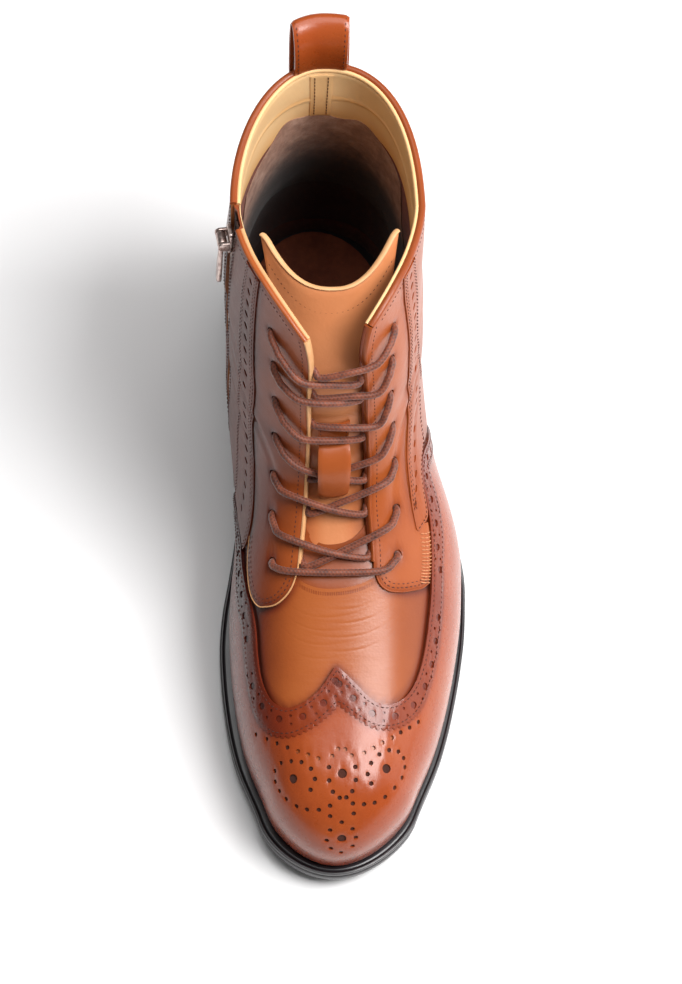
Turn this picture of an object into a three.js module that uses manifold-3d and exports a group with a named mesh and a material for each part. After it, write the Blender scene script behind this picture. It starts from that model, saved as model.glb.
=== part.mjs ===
// Left-foot wing-tip ankle boot: laced through seven pairs of punched holes, with a zip on the inner side.
// Millimetres. +Z is up, the toe points to -Y, and +X is the outer (little toe) side.
// Lengths along the boot are measured forward from the back of the heel and called "along".
// A place on the upper is charted by its rise (0 at the sole, 1 at the top line) and by its angle around the
// boot (0 at the front, +90 on the outer side, 180 at the back). "out" is the distance outside the last.
import * as THREE from "three";
import Module from "manifold-3d";
import { mergeVertices } from "three/addons/utils/BufferGeometryUtils.js";

const wasm = await Module();
wasm.setup();

// Driving sizes of the last and the shaft
const soleLength = 300;
const ballWidth = 106;
const instepHeight = 100;
const shaftHeight = 186;
const shaftWidth = 76;
const heelHeight = 27;
const toeSpring = 6.5;
const welt = 3.6; // ledge of the sole outside the upper
const toeRound = 24; // radius of the toe in plan
const heelRound = 34;
const crownRound = 30; // length over which the toe box rises
const featherBulge = 10; // height above the sole at which the upper is widest
const featherTuck = 0.03; // share of the half width that the upper pulls in at the sole
const heelTuck = 1.5; // how far it pulls in at the back of the heel
const archRise = 28; // height over which the upper swells out above the arch
const ankleBlend = 16; // size of the fillet between foot and shaft

// Layers, from the floor up and from the inside out
const topLift = 6;
const outsole = 5;
const midsole = 3;
const insole = 2.5;
const insoleSlack = 2; // between the insole's edge and the upper
const gap = 0.3; // between pieces that touch
const wall = 1.8;
const panel = 1.2; // thickness of the leather panels laid over the upper
const panelGap = 0.4; // under and between those panels, because they are curved
const tongueGap = 1.1; // between the tongue and the upper, which stay loose
const tongueWall = 2.2;
const laceRadius = 1.5;
const eyeletRadius = 1.9;
const loopWidth = 25;
const strapWall = 2;

// Underside of the outsole: heel seat, then down through the arch, flat at the ball and up to the toe
const heelSeatEnd = 0.2; // as shares of the sole length
const heelBreast = 0.245;
const ballStart = 0.6;
const ballEnd = 0.74;
const toeCurve = 1.8; // exponent of the rise to the toe

// The plan and the profile of the foot, a row for each section across it.
// along: share of the sole length. inner, outer: sole edge from the centre line, as shares of the ball width.
// swell: how far the inner side of the upper stands out over the arch, as a share of the ball width.
// crown: height of the ridge above the floor, as a share of the instep height.
// fullness: exponent of the section.
const FOOT = [
  { along: 0.0, inner: 0.33, outer: 0.345, swell: 0.01, crown: 0.9, fullness: 2.1 },
  { along: 0.12, inner: 0.345, outer: 0.365, swell: 0.01, crown: 0.95, fullness: 2.1 },
  { along: 0.25, inner: 0.33, outer: 0.395, swell: 0.04, crown: 1.0, fullness: 2.1 },
  { along: 0.36, inner: 0.315, outer: 0.455, swell: 0.085, crown: 1.02, fullness: 2.1 },
  { along: 0.44, inner: 0.335, outer: 0.505, swell: 0.065, crown: 1.02, fullness: 2.1 },
  { along: 0.5, inner: 0.36, outer: 0.555, swell: 0.035, crown: 0.985, fullness: 2.1 },
  { along: 0.55, inner: 0.387, outer: 0.58, swell: 0.015, crown: 0.925, fullness: 2.12 },
  { along: 0.6, inner: 0.415, outer: 0.577, swell: 0.005, crown: 0.855, fullness: 2.15 },
  { along: 0.66, inner: 0.43, outer: 0.56, swell: 0.0, crown: 0.76, fullness: 2.25 },
  { along: 0.75, inner: 0.418, outer: 0.508, swell: 0.0, crown: 0.652, fullness: 2.35 },
  { along: 0.83, inner: 0.38, outer: 0.44, swell: 0.0, crown: 0.578, fullness: 2.45 },
  { along: 0.91, inner: 0.302, outer: 0.34, swell: 0.0, crown: 0.528, fullness: 2.5 },
  { along: 1.0, inner: 0.235, outer: 0.24, swell: 0.0, crown: 0.475, fullness: 2.5 },
];

// The shaft, a row for each level section. height: share of the shaft height.
// front, back: along the boot, as shares of the sole length.
// inner, outer: half widths, as shares of the shaft's width.
const SHAFT = [
  { height: 0.13, front: 0.4, back: 0.0135, inner: 0.36, outer: 0.38, fullness: 2.6 },
  { height: 0.24, front: 0.45, back: 0.0095, inner: 0.43, outer: 0.44, fullness: 2.6 },
  { height: 0.33, front: 0.485, back: 0.0075, inner: 0.465, outer: 0.48, fullness: 2.6 },
  { height: 0.42, front: 0.505, back: 0.013, inner: 0.49, outer: 0.505, fullness: 2.6 },
  { height: 0.52, front: 0.51, back: 0.028, inner: 0.505, outer: 0.52, fullness: 2.5 },
  { height: 0.62, front: 0.507, back: 0.04, inner: 0.515, outer: 0.52, fullness: 2.4 },
  { height: 0.75, front: 0.494, back: 0.048, inner: 0.51, outer: 0.51, fullness: 2.15 },
  { height: 0.88, front: 0.482, back: 0.05, inner: 0.5, outer: 0.495, fullness: 1.8 },
  { height: 1.0, front: 0.475, back: 0.0467, inner: 0.485, outer: 0.488, fullness: 1.5 },
  { height: 1.12, front: 0.472, back: 0.044, inner: 0.48, outer: 0.485, fullness: 1.4 },
];

// The top line: height of the collar's sheet along the boot, as shares.
// Past the throat it only guides the rings.
const COLLAR = [
  { along: 0.0, height: 1.0 },
  { along: 0.2, height: 0.99 },
  { along: 0.33, height: 1.005 },
  { along: 0.385, height: 1.015 },
  { along: 0.43, height: 1.005 },
  { along: 0.47, height: 0.965 },
  { along: 0.53, height: 0.86 },
  { along: 0.6, height: 0.78 },
  { along: 0.67, height: 0.76 },
  { along: 0.8, height: 0.8 },
  { along: 1.0, height: 0.9 },
];

// The chart that the rings are spread over: centre and half length of each ring as shares of the sole length,
// and half width as a share of the ball width.
const CHART = [
  { rise: 0.0, centre: 0.5, length: 0.488, width: 0.46 },
  { rise: 0.3, centre: 0.458, length: 0.448, width: 0.44 },
  { rise: 0.5, centre: 0.365, length: 0.35, width: 0.39 },
  { rise: 0.62, centre: 0.32, length: 0.297, width: 0.35 },
  { rise: 0.8, centre: 0.27, length: 0.23, width: 0.335 },
  { rise: 1.0, centre: 0.256, length: 0.21, width: 0.355 },
  { rise: 1.2, centre: 0.252, length: 0.207, width: 0.36 },
];

// Edges of the throat, in degrees around the boot.
const THROAT = [
  { rise: 0.48, inner: -23, outer: 28 },
  { rise: 0.52, inner: -22, outer: 28.5 },
  { rise: 0.56, inner: -21, outer: 31 },
  { rise: 0.61, inner: -20.5, outer: 34 },
  { rise: 0.68, inner: -18.5, outer: 31 },
  { rise: 0.75, inner: -16, outer: 26.5 },
  { rise: 0.85, inner: -14.5, outer: 22.5 },
  { rise: 0.94, inner: -13.5, outer: 20 },
  { rise: 1.0, inner: -17, outer: 24 },
  { rise: 1.1, inner: -32, outer: 38 },
];
const throatBottom = 0.508;

// Front edges of the shaft's side panels. Below their forward tip they run back along the wings.
const SIDE_PANELS = [
  { rise: 0.0, inner: -104, outer: 112 },
  { rise: 0.1, inner: -99, outer: 108.5 },
  { rise: 0.17, inner: -94, outer: 104.5 },
  { rise: 0.25, inner: -86, outer: 100 },
  { rise: 0.315, inner: -76, outer: 94.5 },
  { rise: 0.35, inner: -68.5, outer: 90.5 },
  { rise: 0.39, inner: -64.5, outer: 85 },
  { rise: 0.41, inner: -64.5, outer: 81.5 },
  { rise: 0.435, inner: -67, outer: 74.5 },
  { rise: 0.455, inner: -68, outer: 64 },
  { rise: 0.475, inner: -68, outer: 59.5 },
  { rise: 0.495, inner: -67.5, outer: 60.5 },
  { rise: 0.53, inner: -66, outer: 67.5 },
  { rise: 0.58, inner: -63.5, outer: 69 },
  { rise: 0.67, inner: -59, outer: 64 },
  { rise: 0.84, inner: -54.5, outer: 56 },
  { rise: 1.0, inner: -53, outer: 53 },
];

// Lower edges of the lacing panels, whose front corners are round.
const LACING_PANELS = [
  { rise: 0.36, inner: -57, outer: 60 },
  { rise: 0.39, inner: -51, outer: 58 },
  { rise: 0.41, inner: -46, outer: 57 },
  { rise: 0.43, inner: -41, outer: 56 },
  { rise: 0.45, inner: -35.5, outer: 50 },
  { rise: 0.468, inner: -31, outer: 42 },
  { rise: 0.485, inner: -27, outer: 34.5 },
  { rise: 0.5, inner: -24.5, outer: 30.5 },
  { rise: 0.52, inner: -22, outer: 28.5 },
];

// Top edge of the toe cap and its wings.
const WINGS = [
  { around: -102, rise: 0.02 },
  { around: -99, rise: 0.07 },
  { around: -92, rise: 0.17 },
  { around: -84, rise: 0.25 },
  { around: -74, rise: 0.315 },
  { around: -66, rise: 0.35 },
  { around: -58, rise: 0.375 },
  { around: -51, rise: 0.385 },
  { around: -47, rise: 0.375 },
  { around: -44.5, rise: 0.35 },
  { around: -41, rise: 0.331 },
  { around: -35, rise: 0.327 },
  { around: -28, rise: 0.336 },
  { around: -20, rise: 0.352 },
  { around: -8.4, rise: 0.378 },
  { around: -1, rise: 0.4 },
  { around: 2, rise: 0.409 },
  { around: 5, rise: 0.403 },
  { around: 13, rise: 0.383 },
  { around: 21, rise: 0.359 },
  { around: 29, rise: 0.342 },
  { around: 37, rise: 0.331 },
  { around: 43, rise: 0.329 },
  { around: 48, rise: 0.337 },
  { around: 52.5, rise: 0.357 },
  { around: 57, rise: 0.39 },
  { around: 61, rise: 0.42 },
  { around: 66, rise: 0.432 },
  { around: 75, rise: 0.425 },
  { around: 85, rise: 0.38 },
  { around: 95, rise: 0.295 },
  { around: 103, rise: 0.18 },
  { around: 108, rise: 0.08 },
  { around: 111, rise: 0.02 },
];

// Punched lace holes from the lowest pair up, and the rise of the throat's edges level with them.
const EYELETS = [
  { inner: -39, innerRise: 0.488, innerEdge: 0.53, outer: 43, outerRise: 0.509, outerEdge: 0.535 },
  { inner: -45, innerRise: 0.505, innerEdge: 0.572, outer: 49, outerRise: 0.527, outerEdge: 0.572 },
  { inner: -47, innerRise: 0.55, innerEdge: 0.63, outer: 54, outerRise: 0.555, outerEdge: 0.62 },
  { inner: -44, innerRise: 0.64, innerEdge: 0.735, outer: 52, outerRise: 0.625, outerEdge: 0.72 },
  { inner: -39.5, innerRise: 0.738, innerEdge: 0.835, outer: 43.5, outerRise: 0.73, outerEdge: 0.82 },
  { inner: -38.5, innerRise: 0.822, innerEdge: 0.91, outer: 41.5, outerRise: 0.815, outerEdge: 0.9 },
  { inner: -41, innerRise: 0.895, innerEdge: 0.965, outer: 43, outerRise: 0.89, outerEdge: 0.96 },
];

// How far each strand has come down towards the pair below where it crosses its own edge of the throat (near)
// and the other edge (far), in steps between pairs. A joined row has its two strands touching in the middle.
const STRANDS = [
  { row: 1, innerNear: 0.6, innerFar: 0.86, outerNear: 0.62, outerFar: 0.9, joined: true },
  { row: 2, innerNear: 0.76, innerFar: 0.98, outerNear: 0.72, outerFar: 0.86, joined: true },
  { row: 3, innerNear: 0.9, innerFar: 1.15, outerNear: 0.9, outerFar: 1.1, joined: true },
  { row: 4, innerNear: 1.15, innerFar: 1.3, outerNear: 1.05, outerFar: 0.82, joined: false },
  { row: 5, innerNear: 0.94, innerFar: 1.05, outerNear: 1.08, outerFar: 0.8, joined: true },
  { row: 6, innerNear: 1.25, innerFar: 1.5, outerNear: 0.95, outerFar: 0.78, joined: false },
];

// The tongue: its side edges around the boot, and how far it falls back from the laces, in millimetres.
const TONGUE = [
  { rise: 0.455, inner: -30, outer: 34, fall: 0 },
  { rise: 0.52, inner: -36, outer: 42, fall: 0 },
  { rise: 0.6, inner: -44, outer: 52, fall: 0 },
  { rise: 0.7, inner: -44, outer: 49, fall: 0 },
  { rise: 0.8, inner: -44, outer: 47, fall: 1 },
  { rise: 0.9, inner: -48, outer: 50, fall: 6 },
  { rise: 0.97, inner: -52, outer: 53, fall: 12 },
  { rise: 1.03, inner: -57, outer: 57, fall: 17.5 },
];

// The zip on the inner side
const zipTop = { rise: 0.965, along: 84 };
const zipFoot = { rise: 0.2, along: 108 };
const zipChart = 39; // distance of the zip from the centre line
const zipTape = 6; // width of the tape and teeth
const zipSlot = 6.8;
const zipNotch = 5; // how much the slot widens at the top line
const zipMouth = 8.6; // between the panels on each side
const slider = { width: 7.4, length: 12, base: 1.6, lug: 1.3, eye: 2.1 };
const puller = { barrel: 6, shank: 2.8, tab: 12, width: 4.4, thick: 1.8, length: 25 };

// A smooth curve through one column of a table.
function column(rows, key, value) {
  const x = rows.map((row) => row[key]);
  const y = rows.map((row) => row[value]);
  const last = rows.length - 1;
  const slope = y.map((_, i) => {
    const a = Math.max(i - 1, 0);
    const b = Math.min(i + 1, last);
    return (y[b] - y[a]) / (x[b] - x[a]);
  });
  return (at) => {
    const u = clamp(at, x[0], x[last]);
    let i = 0;
    while (i < last - 1 && u > x[i + 1]) i += 1;
    const h = x[i + 1] - x[i];
    const t = (u - x[i]) / h;
    const rest = 1 - t;
    return (
      rest * rest * (1 + 2 * t) * y[i] +
      t * t * (3 - 2 * t) * y[i + 1] +
      t * rest * h * (rest * slope[i] - t * slope[i + 1])
    );
  };
}

const clamp = (value, low, high) => Math.min(Math.max(value, low), high);
const mix = (a, b, t) => a + (b - a) * t;
const smooth = (t) => t * t * (3 - 2 * t);
const radians = (degrees) => (degrees * Math.PI) / 180;
// A quarter of a rounded end: 0 at the tip and 1 once the full radius is reached.
const roundEnd = (share, power = 2) => (1 - (1 - clamp(share, 0, 1)) ** power) ** (1 / power);

const innerEdge = column(FOOT, "along", "inner");
const outerEdge = column(FOOT, "along", "outer");
const swellAt = column(FOOT, "along", "swell");
const crownAt = column(FOOT, "along", "crown");
const fullnessAt = column(FOOT, "along", "fullness");
const shaftFront = column(SHAFT, "height", "front");
const shaftBack = column(SHAFT, "height", "back");
const shaftInner = column(SHAFT, "height", "inner");
const shaftOuter = column(SHAFT, "height", "outer");
const shaftFullness = column(SHAFT, "height", "fullness");
const collarHeight = column(COLLAR, "along", "height");
const chartCentre = column(CHART, "rise", "centre");
const chartLength = column(CHART, "rise", "length");
const chartWidth = column(CHART, "rise", "width");
const throatInner = column(THROAT, "rise", "inner");
const throatOuter = column(THROAT, "rise", "outer");
const wingEdge = column(WINGS, "around", "rise");

function underside(along) {
  const share = along / soleLength;
  const down = smooth(clamp((share - heelSeatEnd) / (ballStart - heelSeatEnd), 0, 1));
  const up = clamp((share - ballEnd) / (1 - ballEnd), 0, 1);
  return heelHeight * (1 - down) + toeSpring * up ** toeCurve;
}
const soleTop = (along) => underside(along) + outsole + midsole;

// The foot and the shaft as fields: below zero inside and above zero outside, in rough millimetres.
const fieldScale = 38;
const ring = (a, b, power) => fieldScale * ((a ** power + b ** power) ** (1 / power) - 1);

function footField(x, along, z) {
  const share = along / soleLength;
  const floor = soleTop(along);
  const widest = floor + featherBulge;
  const low = clamp((widest - z) / featherBulge, 0, 1);
  const toeTip = soleLength - welt;
  const back = shaftBack(z / shaftHeight) * soleLength + heelTuck * low;
  const ends = roundEnd((toeTip - along) / toeRound) * roundEnd((along - back) / heelRound);
  const swell = x < 0 ? swellAt(share) * ballWidth * smooth(clamp((z - floor) / archRise, 0, 1)) : 0;
  const edge = (x < 0 ? innerEdge : outerEdge)(share) * ballWidth;
  const half = (edge - welt + swell) * ends;
  if (half < 0.01) return 100;
  const crown = (crownAt(share) * instepHeight - widest) * roundEnd((toeTip - along) / crownRound, 2.2);
  const across = Math.abs(x) / (half * (1 - featherTuck * low ** 2));
  return ring(across, Math.max(z - widest, 0) / Math.max(crown, 0.01), fullnessAt(share));
}

const backFullness = { inner: 1.95, outer: 2.4 };
function shaftField(x, along, z) {
  const level = z / shaftHeight;
  const back = shaftBack(level) * soleLength;
  const front = shaftFront(level) * soleLength;
  const long = (along - (front + back) / 2) / ((front - back) / 2);
  const half = (x < 0 ? shaftInner : shaftOuter)(level) * shaftWidth;
  const behind = x < 0 ? backFullness.inner : backFullness.outer;
  return ring(Math.abs(long), Math.abs(x) / half, long > 0 ? shaftFullness(level) : behind);
}

function lastField(x, along, z) {
  const foot = footField(x, along, z);
  const shaft = shaftField(x, along, z);
  const near = Math.max(ankleBlend - Math.abs(foot - shaft), 0) / ankleBlend;
  return Math.min(foot, shaft) - (near * near * ankleBlend) / 4;
}

// The sheet on which a ring of the upper lies: 0 just above the sole and 1 at the collar.
const sheet = (rise, along) =>
  mix(soleTop(along) + gap, collarHeight(along / soleLength) * shaftHeight, rise);

// A point on the last, at an angle in degrees around it.
function lastPoint(around, rise) {
  const centre = chartCentre(rise) * soleLength;
  const dx = Math.sin(radians(around)) * chartWidth(rise) * ballWidth;
  const dy = Math.cos(radians(around)) * chartLength(rise) * soleLength;
  let low = 0;
  let high = 1.8;
  for (let i = 0; i < 24; i += 1) {
    const t = (low + high) / 2;
    const along = centre + dy * t;
    if (lastField(dx * t, along, sheet(rise, along)) < 0) low = t;
    else high = t;
  }
  const along = centre + dy * low;
  return new THREE.Vector3(dx * low, -along, sheet(rise, along));
}

// Directions at a point of the last: up along the upper, around it, and straight out of it.
function lastFrame(around, rise) {
  const step = 0.004;
  const turn = lastPoint(around + 0.25, rise).sub(lastPoint(around - 0.25, rise)).normalize();
  const up = lastPoint(around, rise + step).sub(lastPoint(around, rise - step));
  const out = turn.clone().cross(up).normalize();
  return { out, turn, up: out.clone().cross(turn) };
}

const offsetPoint = (around, rise, out) =>
  lastPoint(around, rise).addScaledVector(lastFrame(around, rise).out, out);

// A geometry from shared points and triangles, turned to face out.
function closedGeometry(points, index) {
  let volume = 0;
  const cross = new THREE.Vector3();
  for (let i = 0; i < index.length; i += 3) {
    cross.crossVectors(points[index[i + 1]], points[index[i + 2]]);
    volume += points[index[i]].dot(cross);
  }
  const geometry = new THREE.BufferGeometry().setFromPoints(points);
  geometry.setIndex(volume < 0 ? index.toReversed() : index);
  return geometry;
}

function quad(index, a, b, c, d) {
  index.push(a, b, c, a, c, d);
}

// A slab between two grids of points, outside[i][j] and inside[i][j].
function slab(outside, inside) {
  const rows = outside.length - 1;
  const columns = outside[0].length - 1;
  const points = [...outside.flat(), ...inside.flat()];
  const o = (i, j) => i * (columns + 1) + j;
  const n = (i, j) => (rows + 1) * (columns + 1) + o(i, j);
  const index = [];
  for (let i = 0; i < rows; i += 1) {
    for (let j = 0; j < columns; j += 1) {
      quad(index, o(i, j), o(i + 1, j), o(i + 1, j + 1), o(i, j + 1));
      quad(index, n(i, j), n(i, j + 1), n(i + 1, j + 1), n(i + 1, j));
    }
    quad(index, o(i, 0), n(i, 0), n(i + 1, 0), o(i + 1, 0));
    quad(index, o(i, columns), o(i + 1, columns), n(i + 1, columns), n(i, columns));
  }
  for (let j = 0; j < columns; j += 1) {
    quad(index, o(0, j), o(0, j + 1), n(0, j + 1), n(0, j));
    quad(index, o(rows, j + 1), o(rows, j), n(rows, j), n(rows, j + 1));
  }
  return closedGeometry(points, index);
}

// A patch of leather over part of the upper. place(i, j) gives its angle, its rise and any shift.
function patch(rows, columns, place, low, high) {
  const grid = (out) =>
    Array.from({ length: rows + 1 }, (_, i) =>
      Array.from({ length: columns + 1 }, (_, j) => {
        const { around, rise, back = 0 } = place(i / rows, j / columns);
        const point = offsetPoint(around, rise, out);
        point.y += back;
        return point;
      }),
    );
  return slab(grid(high), grid(low));
}

// A patch whose two side edges are curves of the rise, straight between the rises given.
function sidePatch({ rises, columns, start, end, low, high, back = () => 0 }) {
  const place = (u, v) => {
    const rise = rises[Math.round(u * (rises.length - 1))];
    return { around: mix(start(rise), end(rise), v), rise, back: back(rise) };
  };
  return patch(rises.length - 1, columns, place, low, high);
}
const evenRises = (from, to, rows) => Array.from({ length: rows + 1 }, (_, i) => mix(from, to, i / rows));

// A closed ring of sections, each a loop up its outside and back down its inside.
// Facing quads are halved alike.
function ringSolid(sections) {
  const size = sections[0].length;
  const index = [];
  sections.forEach((_, i) => {
    const next = ((i + 1) % sections.length) * size;
    for (let j = 0; j < size; j += 1) {
      const k = (j + 1) % size;
      if (j < size / 2) quad(index, i * size + j, i * size + k, next + k, next + j);
      else quad(index, i * size + k, next + k, next + j, i * size + j);
    }
  });
  return closedGeometry(sections.flat(), index);
}

const toSolid = (geometry) => {
  const bare = new THREE.BufferGeometry().setAttribute("position", geometry.getAttribute("position"));
  if (geometry.index) bare.setIndex(geometry.index);
  const merged = mergeVertices(bare, 1e-4);
  const mesh = {
    numProp: 3,
    vertProperties: new Float32Array(merged.getAttribute("position").array),
    triVerts: new Uint32Array(merged.index.array),
  };
  return new wasm.Manifold(new wasm.Mesh(mesh));
};

function toGeometry(solid) {
  const mesh = solid.getMesh();
  const geometry = new THREE.BufferGeometry();
  geometry.setAttribute("position", new THREE.BufferAttribute(mesh.vertProperties, 3));
  geometry.setIndex(new THREE.BufferAttribute(mesh.triVerts, 1));
  return geometry;
}

const cut = (geometry, cutters) =>
  toGeometry(cutters.reduce((solid, cutter) => solid.subtract(toSolid(cutter)), toSolid(geometry)));
const join = (geometries) =>
  toGeometry(geometries.slice(1).reduce((solid, g) => solid.add(toSolid(g)), toSolid(geometries[0])));

// A hollow form between two distances outside the last, over all of the upper and open at both ends.
// It starts a little below the top of the sole, and its rings are closer together at the hollow of the ankle.
const FORM_RISES = [
  [-0.012, 0.03, 0.08, 0.15, 0.23, 0.31, 0.38, 0.44],
  [0.485, 0.525, 0.565, 0.61, 0.67, 0.75, 0.84, 0.92, 1],
].flat();
const formColumns = 36;
function hollowForm(low, high) {
  const section = (j) => {
    const around = (j / formColumns) * 360;
    const outside = FORM_RISES.map((rise) => offsetPoint(around, rise, high));
    const inside = FORM_RISES.map((rise) => offsetPoint(around, rise, low));
    return [...outside, ...inside.reverse()];
  };
  return ringSolid(Array.from({ length: formColumns }, (_, j) => section(j)));
}

// What lies under the upper's lower edge: the sole, made wider and raised by the gap.
const soleCutter = () =>
  solePiece([
    { inset: -welt, height: underside },
    { inset: -welt, height: (along) => soleTop(along) + gap },
  ]);

const cutDepth = 5; // how far cutters reach past the surfaces
const throatCutter = () =>
  sidePatch({
    rises: evenRises(throatBottom, THROAT[THROAT.length - 1].rise, 12),
    columns: 2,
    start: throatInner,
    end: throatOuter,
    low: -wall - cutDepth,
    high: cutDepth,
  });

// The zip's line: its angle around the boot at each rise, shifted along the boot by some millimetres.
function zipLine(rise, shift = 0) {
  const t = (rise - zipFoot.rise) / (zipTop.rise - zipFoot.rise);
  const along = mix(zipFoot.along, zipTop.along, t) + shift;
  const dx = -zipChart / (chartWidth(rise) * ballWidth);
  const dy = (along - chartCentre(rise) * soleLength) / (chartLength(rise) * soleLength);
  return (Math.atan2(dx, dy) * 180) / Math.PI;
}

const notchStart = 0.94; // rise at which the slot starts to widen
const pastTop = 1.04; // rise to which cutters reach above the top line
const notch = (rise) => (zipNotch / 2) * smooth(clamp((rise - notchStart) / (1 - notchStart), 0, 1));
const zipCutter = () =>
  sidePatch({
    rises: evenRises(zipFoot.rise, pastTop, 12),
    columns: 1,
    start: (rise) => zipLine(rise, -zipSlot / 2 - notch(rise)),
    end: (rise) => zipLine(rise, zipSlot / 2 + notch(rise)),
    low: -wall - cutDepth / 2,
    high: cutDepth / 2,
  });

function turnedTo(geometry, direction) {
  const up = new THREE.Vector3(0, 1, 0);
  return geometry.applyQuaternion(new THREE.Quaternion().setFromUnitVectors(up, direction));
}

function eyeletCutter(around, rise) {
  const hole = new THREE.CylinderGeometry(eyeletRadius, eyeletRadius, 2 * cutDepth, 7);
  turnedTo(hole, lastFrame(around, rise).out);
  const centre = lastPoint(around, rise);
  return hole.translate(centre.x, centre.y, centre.z);
}
const innerHoles = () => EYELETS.map((pair) => eyeletCutter(pair.inner, pair.innerRise));
const outerHoles = () => EYELETS.map((pair) => eyeletCutter(pair.outer, pair.outerRise));

// The panels laid over the upper are cut from one larger form, and the edges of two panels keep a gap.
const panelForm = toSolid(hollowForm(panelGap, panelGap + panel));
const overPanels = panelGap + panel;
const cutterReach = { low: -cutDepth, high: cutDepth };
const panelPiece = (cutter) => toGeometry(panelForm.intersect(toSolid(cutter)));
const edgeGap = 0.6; // degrees
const riseGap = 0.004;
const footEdge = 0.014; // rises of the panels' lower and upper ends
const topEdge = 0.997;
const zipFootEnd = zipFoot.rise - 0.01;
// The rises between which the edges of neighbouring panels run straight, side by side.
const PANEL_RISES = [
  [footEdge, 0.08, 0.14, zipFootEnd, zipFoot.rise, 0.25, 0.315, 0.35, 0.39, 0.41, 0.435, 0.455, 0.475, 0.487],
  [0.5, 0.516, 0.53, 0.58, 0.67, 0.75, 0.84, 0.93, topEdge],
].flat();
const sidePanelFront = {
  inner: column(SIDE_PANELS, "rise", "inner"),
  outer: column(SIDE_PANELS, "rise", "outer"),
};
const lacingPanelFoot = {
  inner: column(LACING_PANELS, "rise", "inner"),
  outer: column(LACING_PANELS, "rise", "outer"),
};

// The toe cap and its wings, cut to straight lines between the places of its table.
function wingCap() {
  const steps = WINGS.length - 1;
  const place = (u, v) => {
    const { around, rise } = WINGS[Math.round(u * steps)];
    return { around, rise: mix(footEdge, rise, v) };
  };
  return panelPiece(patch(steps, 3, place, cutterReach.low, cutterReach.high));
}

// The lacing panel of one side: up its throat edge, and from its round corner back to the side panel.
const cornerEnd = 0.51; // rise at which the round corner passes into the throat's edge
const throatSetBack = 0.2; // degrees from the upper's own edge
const lacingFoot = { inner: 0.39, outer: 0.435 };
function lacingPanel(side) {
  const throat = side === "inner" ? throatInner : throatOuter;
  const turn = side === "inner" ? -1 : 1;
  const front = (rise) => (rise > cornerEnd ? throat : lacingPanelFoot[side])(rise);
  const start = (rise) => front(rise) + turn * throatSetBack;
  const end = (rise) => {
    const sidePanel = sidePanelFront[side](rise) - turn * edgeGap * 1.5;
    return turn * Math.min(turn * sidePanel, turn * wingMeeting(side, rise));
  };
  const rises = PANEL_RISES.filter((rise) => rise >= lacingFoot[side]);
  return panelPiece(sidePatch({ rises, columns: 2, start, end, ...cutterReach }));
}

// Where the wing's top edge sinks below a rise again behind its highest place.
// It is 180 where the wing never reaches that rise.
const wingSearch = { from: 44, to: 75, step: 0.5 };
function wingMeeting(side, rise) {
  const turn = side === "inner" ? -1 : 1;
  const { from, to, step } = wingSearch;
  let around = from;
  while (around < to && wingEdge(turn * around) + riseGap < rise) around += step;
  while (around < to && wingEdge(turn * around) + riseGap >= rise) around += step;
  return turn * (around >= to ? 180 : around);
}

const zipSide = (rise) => (rise < zipFoot.rise ? panelGap / 2 : zipMouth / 2) + notch(rise);

// The shaft's panel in front of the zip, and the one from behind it round the heel to the outer side.
const fullHeight = { rises: PANEL_RISES, ...cutterReach };
const innerSidePanel = () =>
  panelPiece(
    sidePatch({
      columns: 2,
      start: (rise) => sidePanelFront.inner(rise) - edgeGap,
      end: (rise) => zipLine(rise, zipSide(rise)),
      ...fullHeight,
    }),
  );
const backPanel = () =>
  panelPiece(
    sidePatch({
      columns: 10,
      start: (rise) => sidePanelFront.outer(rise) + edgeGap,
      end: (rise) => 360 + zipLine(rise, -zipSide(rise)),
      ...fullHeight,
    }),
  );

// The tongue bends at the same rises as the upper that it lies under.
const TONGUE_RISES = [0.46, 0.485, 0.525, 0.565, 0.61, 0.67, 0.75, 0.84, 0.92, 0.98, 1.03];
function tonguePiece() {
  return sidePatch({
    rises: TONGUE_RISES,
    columns: 8,
    start: column(TONGUE, "rise", "inner"),
    end: column(TONGUE, "rise", "outer"),
    back: column(TONGUE, "rise", "fall"),
    low: -wall - tongueGap - tongueWall,
    high: -wall - tongueGap,
  });
}

// A leather keeper on the tongue, arched over the lace that crosses under it.
const keeper = { around: 4, halfTurn: 8, foot: 0.6, head: 0.7, clear: 8.4, wall: 1.3 };
const keeperRows = 10;
const keeperArch = 0.45; // exponent of its arch: the lower, the boxier
function tongueLoop() {
  const onTongue = -wall - tongueGap + 3 * gap;
  const grid = (extra) =>
    evenRises(keeper.foot, keeper.head, keeperRows).map((rise, i) => {
      const out = onTongue + keeper.clear * Math.sin((Math.PI * i) / keeperRows) ** keeperArch + extra;
      return [-1, 0, 1].map((side) => offsetPoint(keeper.around + side * keeper.halfTurn, rise, out));
    });
  return slab(grid(keeper.wall), grid(0));
}

// Laces. Each strand leaves its hole, crosses over the tongue and ends where it goes under the other edge.
const laceOut = overPanels + gap + laceRadius;
function cordGeometry(points) {
  const outline = new THREE.Shape();
  outline.absarc(0, 0, laceRadius, 0, 2 * Math.PI);
  return new THREE.ExtrudeGeometry(outline, {
    curveSegments: 3,
    steps: 8,
    bevelEnabled: false,
    extrudePath: new THREE.CatmullRomCurve3(points, false, "centripetal"),
  });
}
const shinward = new THREE.Vector3(0, -0.85, 0.53); // direction out of the front of the ankle
const between = (a, b, out) => a.clone().lerp(b, 0.5).addScaledVector(shinward, out);
const strandBump = 1.4; // how far a strand stands out between the throat's edges
const crossOver = 0.9; // half the distance between two strands where they cross
const panelClear = 1.3; // how far a strand stands off the hollow front of the ankle
const onEdge = 3; // degrees from the throat's edge to where a strand starts across
const underEdge = 6.5; // degrees from the other edge to where it ends
const endOut = 0.4;

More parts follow.
